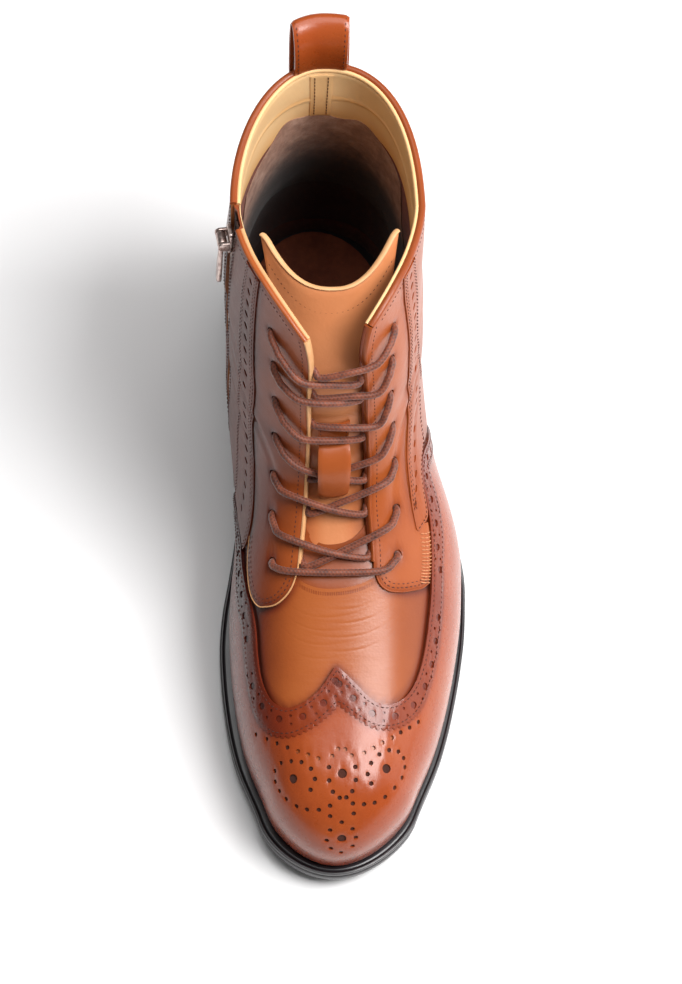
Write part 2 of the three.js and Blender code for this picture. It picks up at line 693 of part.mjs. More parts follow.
// The lowest lace runs straight across between the first pair of holes.
const barRise = 0.516;
function laceBar() {
  const [pair] = EYELETS;
  const left = offsetPoint(throatInner(barRise) - onEdge, barRise, laceOut + endOut);
  const right = offsetPoint(throatOuter(barRise) + onEdge, barRise, laceOut + endOut);
  return cordGeometry([
    offsetPoint(pair.inner, pair.innerRise, laceOut),
    left,
    between(left, right, strandBump),
    right,
    offsetPoint(pair.outer, pair.outerRise, laceOut),
  ]);
}

function strand(place, side) {
  const far = side === "inner" ? "outer" : "inner";
  const turn = side === "inner" ? -1 : 1;
  const throat = { inner: throatInner, outer: throatOuter };
  const hole = EYELETS[place.row];
  const below = EYELETS[place.row - 1];
  const nearRise = mix(hole[`${side}Edge`], below[`${side}Edge`], place[`${side}Near`]);
  const farRise = mix(hole[`${far}Edge`], below[`${far}Edge`], place[`${side}Far`]);
  const holeRise = hole[`${side}Rise`];
  const edge = throat[side](nearRise) + turn * onEdge;
  const over = laceOut + panelClear;
  const near = offsetPoint(edge, nearRise, over);
  const end = offsetPoint(throat[far](farRise) + turn * underEdge, farRise, endOut);
  const lift = place.joined ? turn * crossOver : 0;
  return cordGeometry([
    offsetPoint(hole[side], holeRise, laceOut),
    offsetPoint((hole[side] + edge) / 2, (holeRise + nearRise) / 2, over),
    near,
    between(near, end, strandBump - lift),
    end,
  ]);
}

// The pull loop: a strap that lies on both sides of the collar's back and stands up as a bend above it.
const loopFoot = 0.87; // rise at which the strap starts and ends
const loopHead = 1.005; // rise at which it leaves the collar
const loopStand = 22; // height of the bend above the collar
const loopLean = 7.5; // how far the bend leans back
const loopSwell = 6; // how far the bend's sides stand apart beyond the collar's own thickness
const loopCentre = 181; // degrees around the boot
const degreeAtBack = 0.74; // length of a degree there
const loopGap = 0.45; // between the strap and what it lies on, which is curved
function pullLoop() {
  const halfTurn = loopWidth / 2 / degreeAtBack;
  const off = loopGap + strapWall / 2;
  const path = (around) => {
    const legRises = [loopFoot, (loopFoot + loopHead) / 2, loopHead];
    const inside = legRises.map((rise) => offsetPoint(around, rise, -wall - off));
    const outside = legRises.map((rise) => offsetPoint(around, rise, overPanels + off));
    const [a, b] = [inside[2], outside[2]];
    const steps = 10;
    const bend = Array.from({ length: steps - 1 }, (_, i) => {
      const t = (Math.PI * (i + 1)) / steps;
      const point = a.clone().lerp(b, (1 - Math.cos(t)) / 2);
      point.y += loopLean * Math.sin(t) ** 1.3 - loopSwell * Math.cos(t) * Math.sin(t);
      point.z += loopStand * Math.sin(t) ** 0.8;
      return point;
    });
    return [...inside, ...bend, ...outside.reverse()];
  };
  const paths = [-1, -0.5, 0, 0.5, 1].map((s) => path(loopCentre + s * halfTurn));
  const side = (sign) =>
    paths[0].map((_, i) =>
      paths.map((points, j) => {
        const before = points[Math.max(i - 1, 0)];
        const after = points[Math.min(i + 1, points.length - 1)];
        const next = paths[Math.min(j + 1, paths.length - 1)][i];
        const across = next.clone().sub(paths[Math.max(j - 1, 0)][i]);
        const out = after.clone().sub(before).cross(across).normalize();
        return points[i].clone().addScaledVector(out, (sign * strapWall) / 2);
      }),
    );
  return slab(side(1), side(-1));
}

// A piece of the sole between outlines at several levels, from the lowest up.
function solePiece(levels, { from = 0, to = soleLength, square = false, stations = 40 } = {}) {
  const points = [];
  const loops = levels.map(({ inset, height }) => {
    const first = points.length;
    const start = from + inset;
    const end = square ? to : to - inset;
    for (let i = 0; i <= stations; i += 1) {
      const turn = (Math.PI * i) / stations;
      const t = square ? 1 - Math.cos(turn / 2) : (1 - Math.cos(turn)) / 2;
      const along = mix(start, end, t);
      const ends = roundEnd((soleLength - inset - along) / toeRound) * roundEnd((along - inset) / heelRound);
      const [inner, outer] = [innerEdge, outerEdge].map(
        (edge) => (edge(along / soleLength) * ballWidth - inset) * ends,
      );
      const closed = i === 0 || (i === stations && !square);
      const z = height(along);
      points.push(new THREE.Vector3(closed ? 0 : outer, -along, z));
      points.push(new THREE.Vector3(closed ? 0 : -inner, -along, z));
    }
    return first;
  });
  const index = [];
  const ladder = (first, flip) => {
    for (let i = 0; i < stations; i += 1) {
      const [a, b, c, d] = [0, 1, 3, 2].map((k) => first + 2 * i + k);
      if (flip) quad(index, a, d, c, b);
      else quad(index, a, b, c, d);
    }
  };
  ladder(loops[0], true);
  ladder(loops[loops.length - 1], false);
  for (let k = 0; k < loops.length - 1; k += 1) {
    const [low, high] = [loops[k], loops[k + 1]];
    for (let i = 0; i < stations; i += 1) {
      const j = 2 * i;
      quad(index, low + j, high + j, high + j + 2, low + j + 2);
      quad(index, low + j + 1, low + j + 3, high + j + 3, high + j + 1);
    }
    if (square) {
      const j = 2 * stations;
      quad(index, low + j, high + j, high + j + 1, low + j + 1);
    }
  }
  const sheetGeometry = closedGeometry(points, index);
  return toGeometry(toSolid(mergedPoints(sheetGeometry)));
}

// The same geometry with doubled points shared and the triangles that this closes up left out.
function mergedPoints(geometry) {
  const merged = mergeVertices(geometry, 1e-4);
  const kept = [];
  const { array } = merged.index;
  for (let i = 0; i < array.length; i += 3) {
    const [a, b, c] = array.slice(i, i + 3);
    if (a !== b && b !== c && c !== a) kept.push(a, b, c);
  }
  merged.setIndex(kept);
  return merged;
}

const edgeRound = 0.8; // rounding of the sole's edges
const heelInset = 1.6; // how far the heel stands in from the edge of the outsole
const heelTaper = 0.6; // how much wider the heel is at its top
const outsolePiece = () =>
  solePiece([
    { inset: edgeRound, height: underside },
    { inset: 0, height: (along) => underside(along) + edgeRound },
    { inset: 0, height: (along) => underside(along) + outsole },
  ]);
const midsolePiece = () =>
  solePiece([
    { inset: edgeRound, height: (along) => underside(along) + outsole + gap },
    { inset: 0, height: (along) => underside(along) + outsole + gap + edgeRound },
    { inset: 0, height: (along) => soleTop(along) - edgeRound },
    { inset: edgeRound, height: soleTop },
  ]);
const insoleInset = welt + wall + (featherTuck * ballWidth) / 2 + insoleSlack;
const insolePiece = () =>
  solePiece([
    { inset: insoleInset, height: (along) => soleTop(along) + gap },
    { inset: insoleInset, height: (along) => soleTop(along) + gap + insole },
  ]);

const heelEnds = { from: 0, to: heelBreast * soleLength, square: true, stations: 16 };
const heelPiece = () =>
  solePiece(
    [
      { inset: heelInset, height: () => topLift + gap },
      { inset: heelInset - heelTaper, height: (along) => underside(along) - gap },
    ],
    heelEnds,
  );
const heelTopLift = () =>
  solePiece(
    [
      { inset: heelInset + edgeRound, height: () => 0 },
      { inset: heelInset, height: () => edgeRound },
      { inset: heelInset, height: () => topLift },
    ],
    heelEnds,
  );

const toothHeight = 0.8; // how far the teeth stand outside the last
// The zip: one strip of tape and teeth in the slot, a slider at its top and the puller hinged on that.
const zipStrip = () =>
  sidePatch({
    rises: evenRises(zipFoot.rise + riseGap, zipTop.rise, 12),
    columns: 1,
    start: (rise) => zipLine(rise, -zipTape / 2),
    end: (rise) => zipLine(rise, zipTape / 2),
    low: -wall,
    high: toothHeight,
  });

// A frame on the zip's line: x forward along the boot, y up along the zip, z out of the boot.
const sliderRise = 0.915;
const zipOut = toothHeight + gap;
function zipFrame() {
  const around = zipLine(sliderRise);
  const [below, above] = [-1, 1].map((side) => {
    const rise = sliderRise + side * (1 - sliderRise) / 2;
    return lastPoint(zipLine(rise), rise);
  });
  const up = above.sub(below).normalize();
  const { out } = lastFrame(around, sliderRise);
  const across = up.clone().cross(out).normalize();
  const matrix = new THREE.Matrix4().makeBasis(across, up, across.clone().cross(up));
  return matrix.setPosition(lastPoint(around, sliderRise));
}
const onZip = (geometry) => geometry.applyMatrix4(zipFrame());

const eyeOut = zipOut + slider.base + slider.eye + gap; // height of the hinge over the upper
function zipSlider() {
  const base = new THREE.BoxGeometry(slider.width, slider.length, slider.base);
  base.translate(0, 0, zipOut + slider.base / 2);
  const lug = (side) => {
    const offset = side * (puller.barrel / 2 + gap + slider.lug / 2);
    const foot = zipOut + slider.base / 2;
    const height = eyeOut + slider.eye - foot;
    const plate = new THREE.BoxGeometry(slider.lug, slider.eye * 2, height);
    return plate.translate(offset, 0, foot + height / 2);
  };
  return onZip(join([base, lug(-1), lug(1)]));
}
// The puller hangs from a barrel between the slider's lugs: a shank and a longer rounded tab.
function zipPull() {
  const barrel = new THREE.CylinderGeometry(slider.eye, slider.eye, puller.barrel, 14);
  barrel.rotateZ(Math.PI / 2).translate(0, 0, eyeOut);
  const shankLength = puller.length - puller.tab / 2;
  const shank = new THREE.BoxGeometry(puller.shank, shankLength, puller.thick);
  shank.translate(0, -shankLength / 2, eyeOut);
  const tab = new THREE.CylinderGeometry(puller.width / 2, puller.width / 2, puller.thick, 16);
  tab.rotateX(Math.PI / 2).scale(1, puller.tab / puller.width, 1);
  tab.translate(0, puller.tab / 2 - puller.length, eyeOut);
  return onZip(join([barrel, shank, tab]));
}

const material = (color, roughness, metalness = 0) =>
  new THREE.MeshStandardMaterial({ color, roughness, metalness });
const calf = material(0xa8562c, 0.38);
const burnishedCalf = material(0x9a4a24, 0.34);
const softCalf = material(0xb87040, 0.45);
const lining = material(0xd9a860, 0.6);
const rubber = material(0x1a1418, 0.5);
const waxedCord = material(0x8a4b38, 0.6);
const tapeCloth = material(0x2a1a14, 0.8);
const nickel = material(0xa09088, 0.35, 1);

const boot = new THREE.Group();
function add(name, geometry, finish) {
  const mesh = new THREE.Mesh(geometry, finish);
  mesh.name = name;
  boot.add(mesh);
}

add("heel_top_lift", heelTopLift(), rubber);
add("heel", heelPiece(), rubber);
add("outsole", outsolePiece(), rubber);
add("midsole", midsolePiece(), rubber);
add("insole", insolePiece(), lining);
const upperCuts = [soleCutter(), throatCutter(), zipCutter(), ...innerHoles(), ...outerHoles()];
add("upper", cut(hollowForm(-wall, 0), upperCuts), calf);
add("wing_cap", wingCap(), burnishedCalf);
add("lacing_panel_inner", cut(lacingPanel("inner"), innerHoles()), calf);
add("lacing_panel_outer", cut(lacingPanel("outer"), outerHoles()), calf);
add("side_panel_inner", innerSidePanel(), calf);
add("back_panel", backPanel(), calf);
add("tongue", tonguePiece(), softCalf);
add("tongue_loop", tongueLoop(), softCalf);
add("pull_loop", pullLoop(), calf);
add("lace_bar_1", laceBar(), waxedCord);
STRANDS.forEach((place) => {
  const [inner, outer] = ["inner", "outer"].map((side) => strand(place, side));
  const name = `lace_cross_${place.row + 1}`;
  if (place.joined) add(name, join([inner, outer]), waxedCord);
  else {
    add(`${name}_inner`, inner, waxedCord);
    add(`${name}_outer`, outer, waxedCord);
  }
});
add("zip_strip", zipStrip(), tapeCloth);
add("zip_slider", zipSlider(), nickel);
add("zip_pull", zipPull(), nickel);

// The origin is the middle of the box's floor.
const box = new THREE.Box3().setFromObject(boot, true);
const middle = box.getCenter(new THREE.Vector3());
boot.position.set(-middle.x, -middle.y, -box.min.z);

export default boot;
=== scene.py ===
# Left-foot wing-tip ankle boot, dressed: panels, pinking, punched holes, stitches, laces, linings and zip.
# Millimetres until a mesh is made. The toe points to -Y, +X is the outer side and +Z is up.
# A place on the upper is charted by its angle around the boot in degrees (0 at the front, +90 at the outer
# side) and by its rise (0 at the sole, 1 at the top line). "out" is the distance outside the last.
import math

import bpy
import numpy as np
import bmesh
from mathutils import Matrix, Vector
from mathutils.geometry import delaunay_2d_cdt
from mathutils.kdtree import KDTree


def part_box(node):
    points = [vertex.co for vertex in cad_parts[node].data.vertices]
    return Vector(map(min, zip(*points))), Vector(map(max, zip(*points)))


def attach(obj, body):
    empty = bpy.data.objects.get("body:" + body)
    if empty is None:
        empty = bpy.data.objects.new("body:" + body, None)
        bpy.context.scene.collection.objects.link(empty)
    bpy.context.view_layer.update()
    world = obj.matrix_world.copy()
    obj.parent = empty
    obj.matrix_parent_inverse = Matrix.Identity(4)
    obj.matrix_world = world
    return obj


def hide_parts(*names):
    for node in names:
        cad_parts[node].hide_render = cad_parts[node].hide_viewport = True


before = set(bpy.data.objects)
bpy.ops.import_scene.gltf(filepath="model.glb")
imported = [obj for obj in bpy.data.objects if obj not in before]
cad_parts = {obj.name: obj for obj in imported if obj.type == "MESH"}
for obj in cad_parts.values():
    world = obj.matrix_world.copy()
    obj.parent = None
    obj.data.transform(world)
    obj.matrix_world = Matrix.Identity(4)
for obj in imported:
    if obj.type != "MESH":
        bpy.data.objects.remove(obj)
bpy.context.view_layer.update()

METRES = 0.001
SOLE_LENGTH = 300
BALL_WIDTH = 106
INSTEP_HEIGHT = 100
SHAFT_HEIGHT = 186
SHAFT_WIDTH = 76
HEEL_HEIGHT = 27
TOE_SPRING = 6.5
WELT = 3.6
TOE_ROUND = 24
HEEL_ROUND = 34
CROWN_ROUND = 30
FEATHER_BULGE = 10
FEATHER_TUCK = 0.03
HEEL_TUCK = 1.5
ARCH_RISE = 28
ANKLE_BLEND = 16
TOP_LIFT = 6
OUTSOLE = 5
MIDSOLE = 3
GAP = 0.3
WALL = 1.8
PANEL = 1.2
PANEL_GAP = 0.4
TONGUE_GAP = 1.1
TONGUE_WALL = 2.2
LACE_RADIUS = 1.5
EYELET_RADIUS = 1.9
LOOP_WIDTH = 25
STRAP_WALL = 2
HEEL_SEAT_END = 0.2
HEEL_BREAST = 0.245
BALL_START = 0.6
BALL_END = 0.74
TOE_CURVE = 1.8
OVER_PANELS = PANEL_GAP + PANEL


def table(names, *rows):
    return {name: np.array([row[i] for row in rows], float) for i, name in enumerate(names.split())}


FOOT = table(
    "along inner outer swell crown fullness",
    (0.0, 0.33, 0.345, 0.01, 0.9, 2.1),
    (0.12, 0.345, 0.365, 0.01, 0.95, 2.1),
    (0.25, 0.33, 0.395, 0.04, 1.0, 2.1),
    (0.36, 0.315, 0.455, 0.085, 1.02, 2.1),
    (0.44, 0.335, 0.505, 0.065, 1.02, 2.1),
    (0.5, 0.36, 0.555, 0.035, 0.985, 2.1),
    (0.55, 0.387, 0.58, 0.015, 0.925, 2.12),
    (0.6, 0.415, 0.577, 0.005, 0.855, 2.15),
    (0.66, 0.43, 0.56, 0.0, 0.76, 2.25),
    (0.75, 0.418, 0.508, 0.0, 0.652, 2.35),
    (0.83, 0.38, 0.44, 0.0, 0.578, 2.45),
    (0.91, 0.302, 0.34, 0.0, 0.528, 2.5),
    (1.0, 0.235, 0.24, 0.0, 0.475, 2.5),
)
SHAFT = table(
    "height front back inner outer fullness",
    (0.13, 0.4, 0.0135, 0.36, 0.38, 2.6),
    (0.24, 0.45, 0.0095, 0.43, 0.44, 2.6),
    (0.33, 0.485, 0.0075, 0.465, 0.48, 2.6),
    (0.42, 0.505, 0.013, 0.49, 0.505, 2.6),
    (0.52, 0.51, 0.028, 0.505, 0.52, 2.5),
    (0.62, 0.507, 0.04, 0.515, 0.52, 2.4),
    (0.75, 0.494, 0.048, 0.51, 0.51, 2.15),
    (0.88, 0.482, 0.05, 0.5, 0.495, 1.8),
    (1.0, 0.475, 0.0467, 0.485, 0.488, 1.5),
    (1.12, 0.472, 0.044, 0.48, 0.485, 1.4),
)
COLLAR = table(
    "along height",
    (0.0, 1.0), (0.2, 0.99), (0.33, 1.005), (0.385, 1.015), (0.43, 1.005), (0.47, 0.965),
    (0.53, 0.86), (0.6, 0.78), (0.67, 0.76), (0.8, 0.8), (1.0, 0.9),
)
CHART = table(
    "rise centre length width",
    (0.0, 0.5, 0.488, 0.46),
    (0.3, 0.458, 0.448, 0.44),
    (0.5, 0.365, 0.35, 0.39),
    (0.62, 0.32, 0.297, 0.35),
    (0.8, 0.27, 0.23, 0.335),
    (1.0, 0.256, 0.21, 0.355),
    (1.2, 0.252, 0.207, 0.36),
)
THROAT = table(
    "rise inner outer",
    (0.48, -23, 28), (0.52, -22, 28.5), (0.56, -21, 31), (0.61, -20.5, 34), (0.68, -18.5, 31),
    (0.75, -16, 26.5), (0.85, -14.5, 22.5), (0.94, -13.5, 20), (1.0, -17, 24), (1.1, -32, 38),
)
SIDE_PANELS = table(
    "rise inner outer",
    (0.0, -104, 112), (0.1, -99, 108.5), (0.17, -94, 104.5), (0.25, -86, 100), (0.315, -76, 94.5),
    (0.35, -68.5, 90.5), (0.39, -64.5, 85), (0.41, -64.5, 81.5), (0.435, -67, 74.5), (0.455, -68, 64),
    (0.475, -68, 59.5), (0.495, -67.5, 60.5), (0.53, -66, 67.5), (0.58, -63.5, 69), (0.67, -59, 64),
    (0.84, -54.5, 56), (1.0, -53, 53),
)
WINGS = [
    (-102, 0.02), (-99, 0.07), (-92, 0.17), (-84, 0.25), (-74, 0.315), (-66, 0.35), (-58, 0.375),
    (-51, 0.385), (-47, 0.375), (-44.5, 0.35), (-41, 0.331), (-35, 0.327), (-28, 0.336), (-20, 0.352),
    (-8.4, 0.378), (-1, 0.4), (2, 0.409), (5, 0.403), (13, 0.383), (21, 0.359), (29, 0.342),
    (37, 0.331), (43, 0.329), (48, 0.337), (52.5, 0.357), (57, 0.39), (61, 0.42), (66, 0.432),
    (75, 0.425), (85, 0.38), (95, 0.295), (103, 0.18), (108, 0.08), (111, 0.02),
]
WING_PEAK = 16  # row of WINGS at the point of the W
EYELETS = table(
    "inner inner_rise inner_edge outer outer_rise outer_edge",
    (-39, 0.488, 0.53, 43, 0.509, 0.535),
    (-45, 0.505, 0.572, 49, 0.527, 0.572),
    (-47, 0.55, 0.63, 54, 0.555, 0.62),
    (-44, 0.64, 0.735, 52, 0.625, 0.72),
    (-39.5, 0.738, 0.835, 43.5, 0.73, 0.82),
    (-38.5, 0.822, 0.91, 41.5, 0.815, 0.9),
    (-41, 0.895, 0.965, 43, 0.89, 0.96),
)
STRANDS = table(
    "row inner_near inner_far outer_near outer_far joined",
    (1, 0.6, 0.86, 0.62, 0.9, 1),
    (2, 0.76, 0.98, 0.72, 0.86, 1),
    (3, 0.9, 1.15, 0.9, 1.1, 1),
    (4, 1.15, 1.3, 1.05, 0.82, 0),
    (5, 0.94, 1.05, 1.08, 0.8, 1),
    (6, 1.25, 1.5, 0.95, 0.78, 0),
)
TONGUE = table(
    "rise inner outer fall",
    (0.455, -30, 34, 0), (0.52, -36, 42, 0), (0.6, -44, 52, 0), (0.7, -44, 49, 0), (0.8, -44, 47, 1),
    (0.9, -48, 50, 6), (0.97, -52, 53, 12), (1.03, -57, 57, 17.5),
)
ZIP_TOP = (0.965, 84)
ZIP_FOOT = (0.2, 108)
ZIP_CHART = 39
ZIP_SLOT = 6.8
ZIP_MOUTH = 8.6
ZIP_NOTCH = 5
NOTCH_START = 0.94
TOOTH_HEIGHT = 0.8
SLIDER = {"width": 7.4, "length": 12, "base": 1.6, "lug": 1.3, "eye": 2.1}
PULLER = {"barrel": 6, "shank": 2.8, "width": 4.4, "thick": 1.8, "length": 25}
SLIDER_RISE = 0.915


def column(rows, key, value):
    """A smooth curve through one column of a table."""
    x, y = rows[key], rows[value]
    last = len(x) - 1
    before = np.maximum(np.arange(last + 1) - 1, 0)
    after = np.minimum(np.arange(last + 1) + 1, last)
    slope = (y[after] - y[before]) / (x[after] - x[before])

    def at(place):
        u = np.clip(place, x[0], x[-1])
        i = np.clip(np.searchsorted(x, u) - 1, 0, last - 1)
        h = x[i + 1] - x[i]
        t = (u - x[i]) / h
        rest = 1 - t
        ends = rest * rest * (1 + 2 * t) * y[i] + t * t * (3 - 2 * t) * y[i + 1]
        return ends + t * rest * h * (rest * slope[i] - t * slope[i + 1])

    return at


def smooth(t):
    t = np.clip(t, 0, 1)
    return t * t * (3 - 2 * t)


def round_end(share, power=2.0):
    return (1 - (1 - np.clip(share, 0, 1)) ** power) ** (1 / power)


inner_edge = column(FOOT, "along", "inner")
outer_edge = column(FOOT, "along", "outer")
swell_at = column(FOOT, "along", "swell")
crown_at = column(FOOT, "along", "crown")
fullness_at = column(FOOT, "along", "fullness")
shaft_front = column(SHAFT, "height", "front")
shaft_back = column(SHAFT, "height", "back")
shaft_inner = column(SHAFT, "height", "inner")
shaft_outer = column(SHAFT, "height", "outer")
shaft_fullness = column(SHAFT, "height", "fullness")
collar_height = column(COLLAR, "along", "height")
chart_centre = column(CHART, "rise", "centre")
chart_length = column(CHART, "rise", "length")
chart_width = column(CHART, "rise", "width")
throat = {side: column(THROAT, "rise", side) for side in ("inner", "outer")}


def underside(along):
    share = along / SOLE_LENGTH
    down = smooth((share - HEEL_SEAT_END) / (BALL_START - HEEL_SEAT_END))
    up = np.clip((share - BALL_END) / (1 - BALL_END), 0, 1)
    return HEEL_HEIGHT * (1 - down) + TOE_SPRING * up**TOE_CURVE


def sole_top(along):
    return underside(along) + OUTSOLE + MIDSOLE


# A field is 0 on a surface and about a distance in mm near it.
FIELD_SCALE = 38
FIELD_LIMIT = 50
FAR_OUTSIDE = 100
INNER_FRONT_FULLNESS = 1.95
OUTER_FRONT_FULLNESS = 2.4


def foot_field(x, along, z):
    share = along / SOLE_LENGTH
    floor = sole_top(along)
    widest = floor + FEATHER_BULGE
    low = np.clip((widest - z) / FEATHER_BULGE, 0, 1)
    toe_tip = SOLE_LENGTH - WELT
    back = shaft_back(z / SHAFT_HEIGHT) * SOLE_LENGTH + HEEL_TUCK * low
    ends = round_end((toe_tip - along) / TOE_ROUND) * round_end((along - back) / HEEL_ROUND)
    swell = np.where(x < 0, swell_at(share), 0) * BALL_WIDTH * smooth((z - floor) / ARCH_RISE)
    edge = np.where(x < 0, inner_edge(share), outer_edge(share)) * BALL_WIDTH
    half = (edge - WELT + swell) * ends
    crown = (crown_at(share) * INSTEP_HEIGHT - widest) * round_end((toe_tip - along) / CROWN_ROUND, 2.2)
    across = np.abs(x) / np.maximum(half * (1 - FEATHER_TUCK * low**2), 0.001)
    power = fullness_at(share)
    up = np.maximum(z - widest, 0) / np.maximum(crown, 0.01)
    total = np.minimum(across, FIELD_LIMIT) ** power + np.minimum(up, FIELD_LIMIT) ** power
    return np.where(half < 0.01, FAR_OUTSIDE, FIELD_SCALE * (total ** (1 / power) - 1))


def shaft_field(x, along, z):
    level = z / SHAFT_HEIGHT
    back = shaft_back(level) * SOLE_LENGTH
    front = shaft_front(level) * SOLE_LENGTH
    long = (along - (front + back) / 2) / ((front - back) / 2)
    half = np.where(x < 0, shaft_inner(level), shaft_outer(level)) * SHAFT_WIDTH
    front_power = np.where(x < 0, INNER_FRONT_FULLNESS, OUTER_FRONT_FULLNESS)
    power = np.where(long > 0, shaft_fullness(level), front_power)
    return FIELD_SCALE * ((np.abs(long) ** power + np.abs(x / half) ** power) ** (1 / power) - 1)


def last_field(x, along, z):
    foot = foot_field(x, along, z)
    shaft = shaft_field(x, along, z)
    near = np.maximum(ANKLE_BLEND - np.abs(foot - shaft), 0) / ANKLE_BLEND
    return np.minimum(foot, shaft) - near * near * ANKLE_BLEND / 4


def sheet(rise, along):
    low = sole_top(along) + GAP
    return low + (collar_height(along / SOLE_LENGTH) * SHAFT_HEIGHT - low) * rise


SEARCH_REACH = 1.8
SEARCH_STEPS = 26


def last_point(around, rise):
    """Points of the last, found by halving the reach outwards from the chart's centre line."""
    around, rise = np.broadcast_arrays(np.asarray(around, float), np.asarray(rise, float))
    turn = np.radians(around)
    centre = chart_centre(rise) * SOLE_LENGTH
    dx = np.sin(turn) * chart_width(rise) * BALL_WIDTH
    dy = np.cos(turn) * chart_length(rise) * SOLE_LENGTH
    low = np.zeros(around.shape)
    high = np.full(around.shape, SEARCH_REACH)
    for _ in range(SEARCH_STEPS):
        t = (low + high) / 2
        along = centre + dy * t
        within = last_field(dx * t, along, sheet(rise, along)) < 0
        low = np.where(within, t, low)
        high = np.where(within, high, t)
    along = centre + dy * low
    return np.stack([dx * low, -along, sheet(rise, along)], -1)


# The last is measured once on a fine chart, and places between are read from it smoothly.
TURN_STEP = 1.5
RISE_STEP = 0.01
RISE_LOW = -0.05
RISE_COUNT = 117
turns = np.arange(-180, 180, TURN_STEP)
rises = RISE_LOW + RISE_STEP * np.arange(RISE_COUNT)
chart_points = last_point(turns[None, :], rises[:, None])


def chart_normals(points):
    turning = np.roll(points, -1, axis=1) - np.roll(points, 1, axis=1)
    rising = np.gradient(points, axis=0)
    normals = np.cross(turning, rising)
    return normals / np.linalg.norm(normals, axis=-1, keepdims=True)


chart_out = chart_normals(chart_points)


def spline_weights(t):
    return [
        ((-t + 2) * t - 1) * t / 2,
        ((3 * t - 5) * t * t + 2) / 2,
        ((-3 * t + 4) * t + 1) * t / 2,
        (t - 1) * t * t / 2,
    ]


def read_chart(chart, around, rise):
    u = (np.asarray(around, float) + 180) / TURN_STEP
    v = np.clip((np.asarray(rise, float) - RISE_LOW) / RISE_STEP, 1, len(rises) - 3)
    i, j = np.floor(u).astype(int), np.floor(v).astype(int)
    across, up = spline_weights(u - i), spline_weights(v - j)
    total = 0
    for b in range(4):
        level = np.clip(j + b - 1, 0, len(rises) - 1)[..., None]
        row = chart[level, (i[..., None] + np.arange(-1, 3)) % len(turns)]
        total = total + up[b][..., None] * sum(across[a][..., None] * row[..., a, :] for a in range(4))
    return total


# Relief of the worn leather: creases across the vamp, folds at the ankle and a slightly uneven shaft.
# Each row is rise, slope with the angle, depth in mm, width in rise, and centre and half width around.
CREASES = [
    (0.419, 0.0002, 0.04, 0.0014, -9, 16),
    (0.428, -0.0001, 0.05, 0.0015, 12, 18),
    (0.437, 0.00016, 0.05, 0.0015, -8, 20),
    (0.447, -0.00012, 0.06, 0.0016, 6, 22),
    (0.456, 0.0001, 0.06, 0.0015, -10, 18),
    (0.465, -0.00014, 0.06, 0.0016, 12, 16),
    (0.474, 0.00012, 0.05, 0.0015, -4, 20),
    (0.484, -0.0001, 0.04, 0.0014, 8, 16),
]
FOLDS = [
    (0.56, 0.0012, 0.7, 0.014, 62, 22),
    (0.62, -0.0009, 0.6, 0.016, 84, 26),
    (0.585, -0.0013, 0.7, 0.014, -62, 22),
    (0.66, 0.0008, 0.6, 0.018, -84, 26),
    (0.5, 0.0009, 0.6, 0.014, 90, 24),
    (0.49, -0.0009, 0.6, 0.014, -92, 24),
]


CREASE_FADE = 1.2
LIP_HEIGHT = 0.45  # of the raised lip above a crease, as a share of its depth
LIP_PLACE = 2.2
LIP_WIDTH = 1.6
WAVE_DEPTH = 0.32


def relief(around, rise):
    """How far the worn leather stands out in mm."""
    around = (around + 180) % 360 - 180
    depth = np.zeros(np.broadcast(around, rise).shape)
    for at, slope, deep, width, centre, spread in CREASES + FOLDS:
        line = at + slope * (around - centre)
        fade = np.exp(-(((around - centre) / spread) ** 2) * CREASE_FADE)
        above = (rise - line - LIP_PLACE * width) / (LIP_WIDTH * width)
        depth -= deep * fade * np.exp(-(((rise - line) / width) ** 2))
        depth += LIP_HEIGHT * deep * fade * np.exp(-(above**2))
    on_shaft = smooth((rise - 0.45) / 0.15) * smooth((1.0 - rise) / 0.12)
    waves = np.sin(np.radians(3 * around) + 9 * rise) + np.sin(np.radians(5 * around) - 14 * rise + 1.3)
    return depth + WAVE_DEPTH * on_shaft * waves


def tuck(around, rise):
    """How far the leather is drawn in just above the sole, so that the welt's edge shows all round."""
    inner = np.clip(-np.sin(np.radians(around)), 0, 1)
    return (1.0 + 1.4 * inner) * smooth((0.34 - rise) / 0.3)


def on_last(around, rise, out=0.0, worn=True):
    around, rise = np.broadcast_arrays(np.asarray(around, float), np.asarray(rise, float))
    points = read_chart(chart_points, around, rise)
    normals = read_chart(chart_out, around, rise)
    normals /= np.linalg.norm(normals, axis=-1, keepdims=True)
    height = out - tuck(around, rise) + (relief(around, rise) if worn else 0)
    return points + normals * np.broadcast_to(height, around.shape)[..., None]


def unit(vectors):
    return vectors / np.maximum(np.linalg.norm(vectors, axis=-1, keepdims=True), 1e-9)


def outward(around, rise):
    turning = on_last(around + 0.4, rise) - on_last(around - 0.4, rise)
    rising = on_last(around, rise + 0.003) - on_last(around, rise - 0.003)
    return unit(np.cross(turning, rising))


def chart_move(around, rise, move):
    """The chart place reached from another by a move in millimetres along the surface."""
    a = on_last(around + 0.3, rise, worn=False) - on_last(around - 0.3, rise, worn=False)
    b = on_last(around, rise + 0.002, worn=False) - on_last(around, rise - 0.002, worn=False)
    a, b = a / 0.6, b / 0.004
    aa, ab, bb = (a * a).sum(-1), (a * b).sum(-1), (b * b).sum(-1)
    am, bm = (a * move).sum(-1), (b * move).sum(-1)
    det = aa * bb - ab * ab
    return around + (bb * am - ab * bm) / det, rise + (aa * bm - ab * am) / det


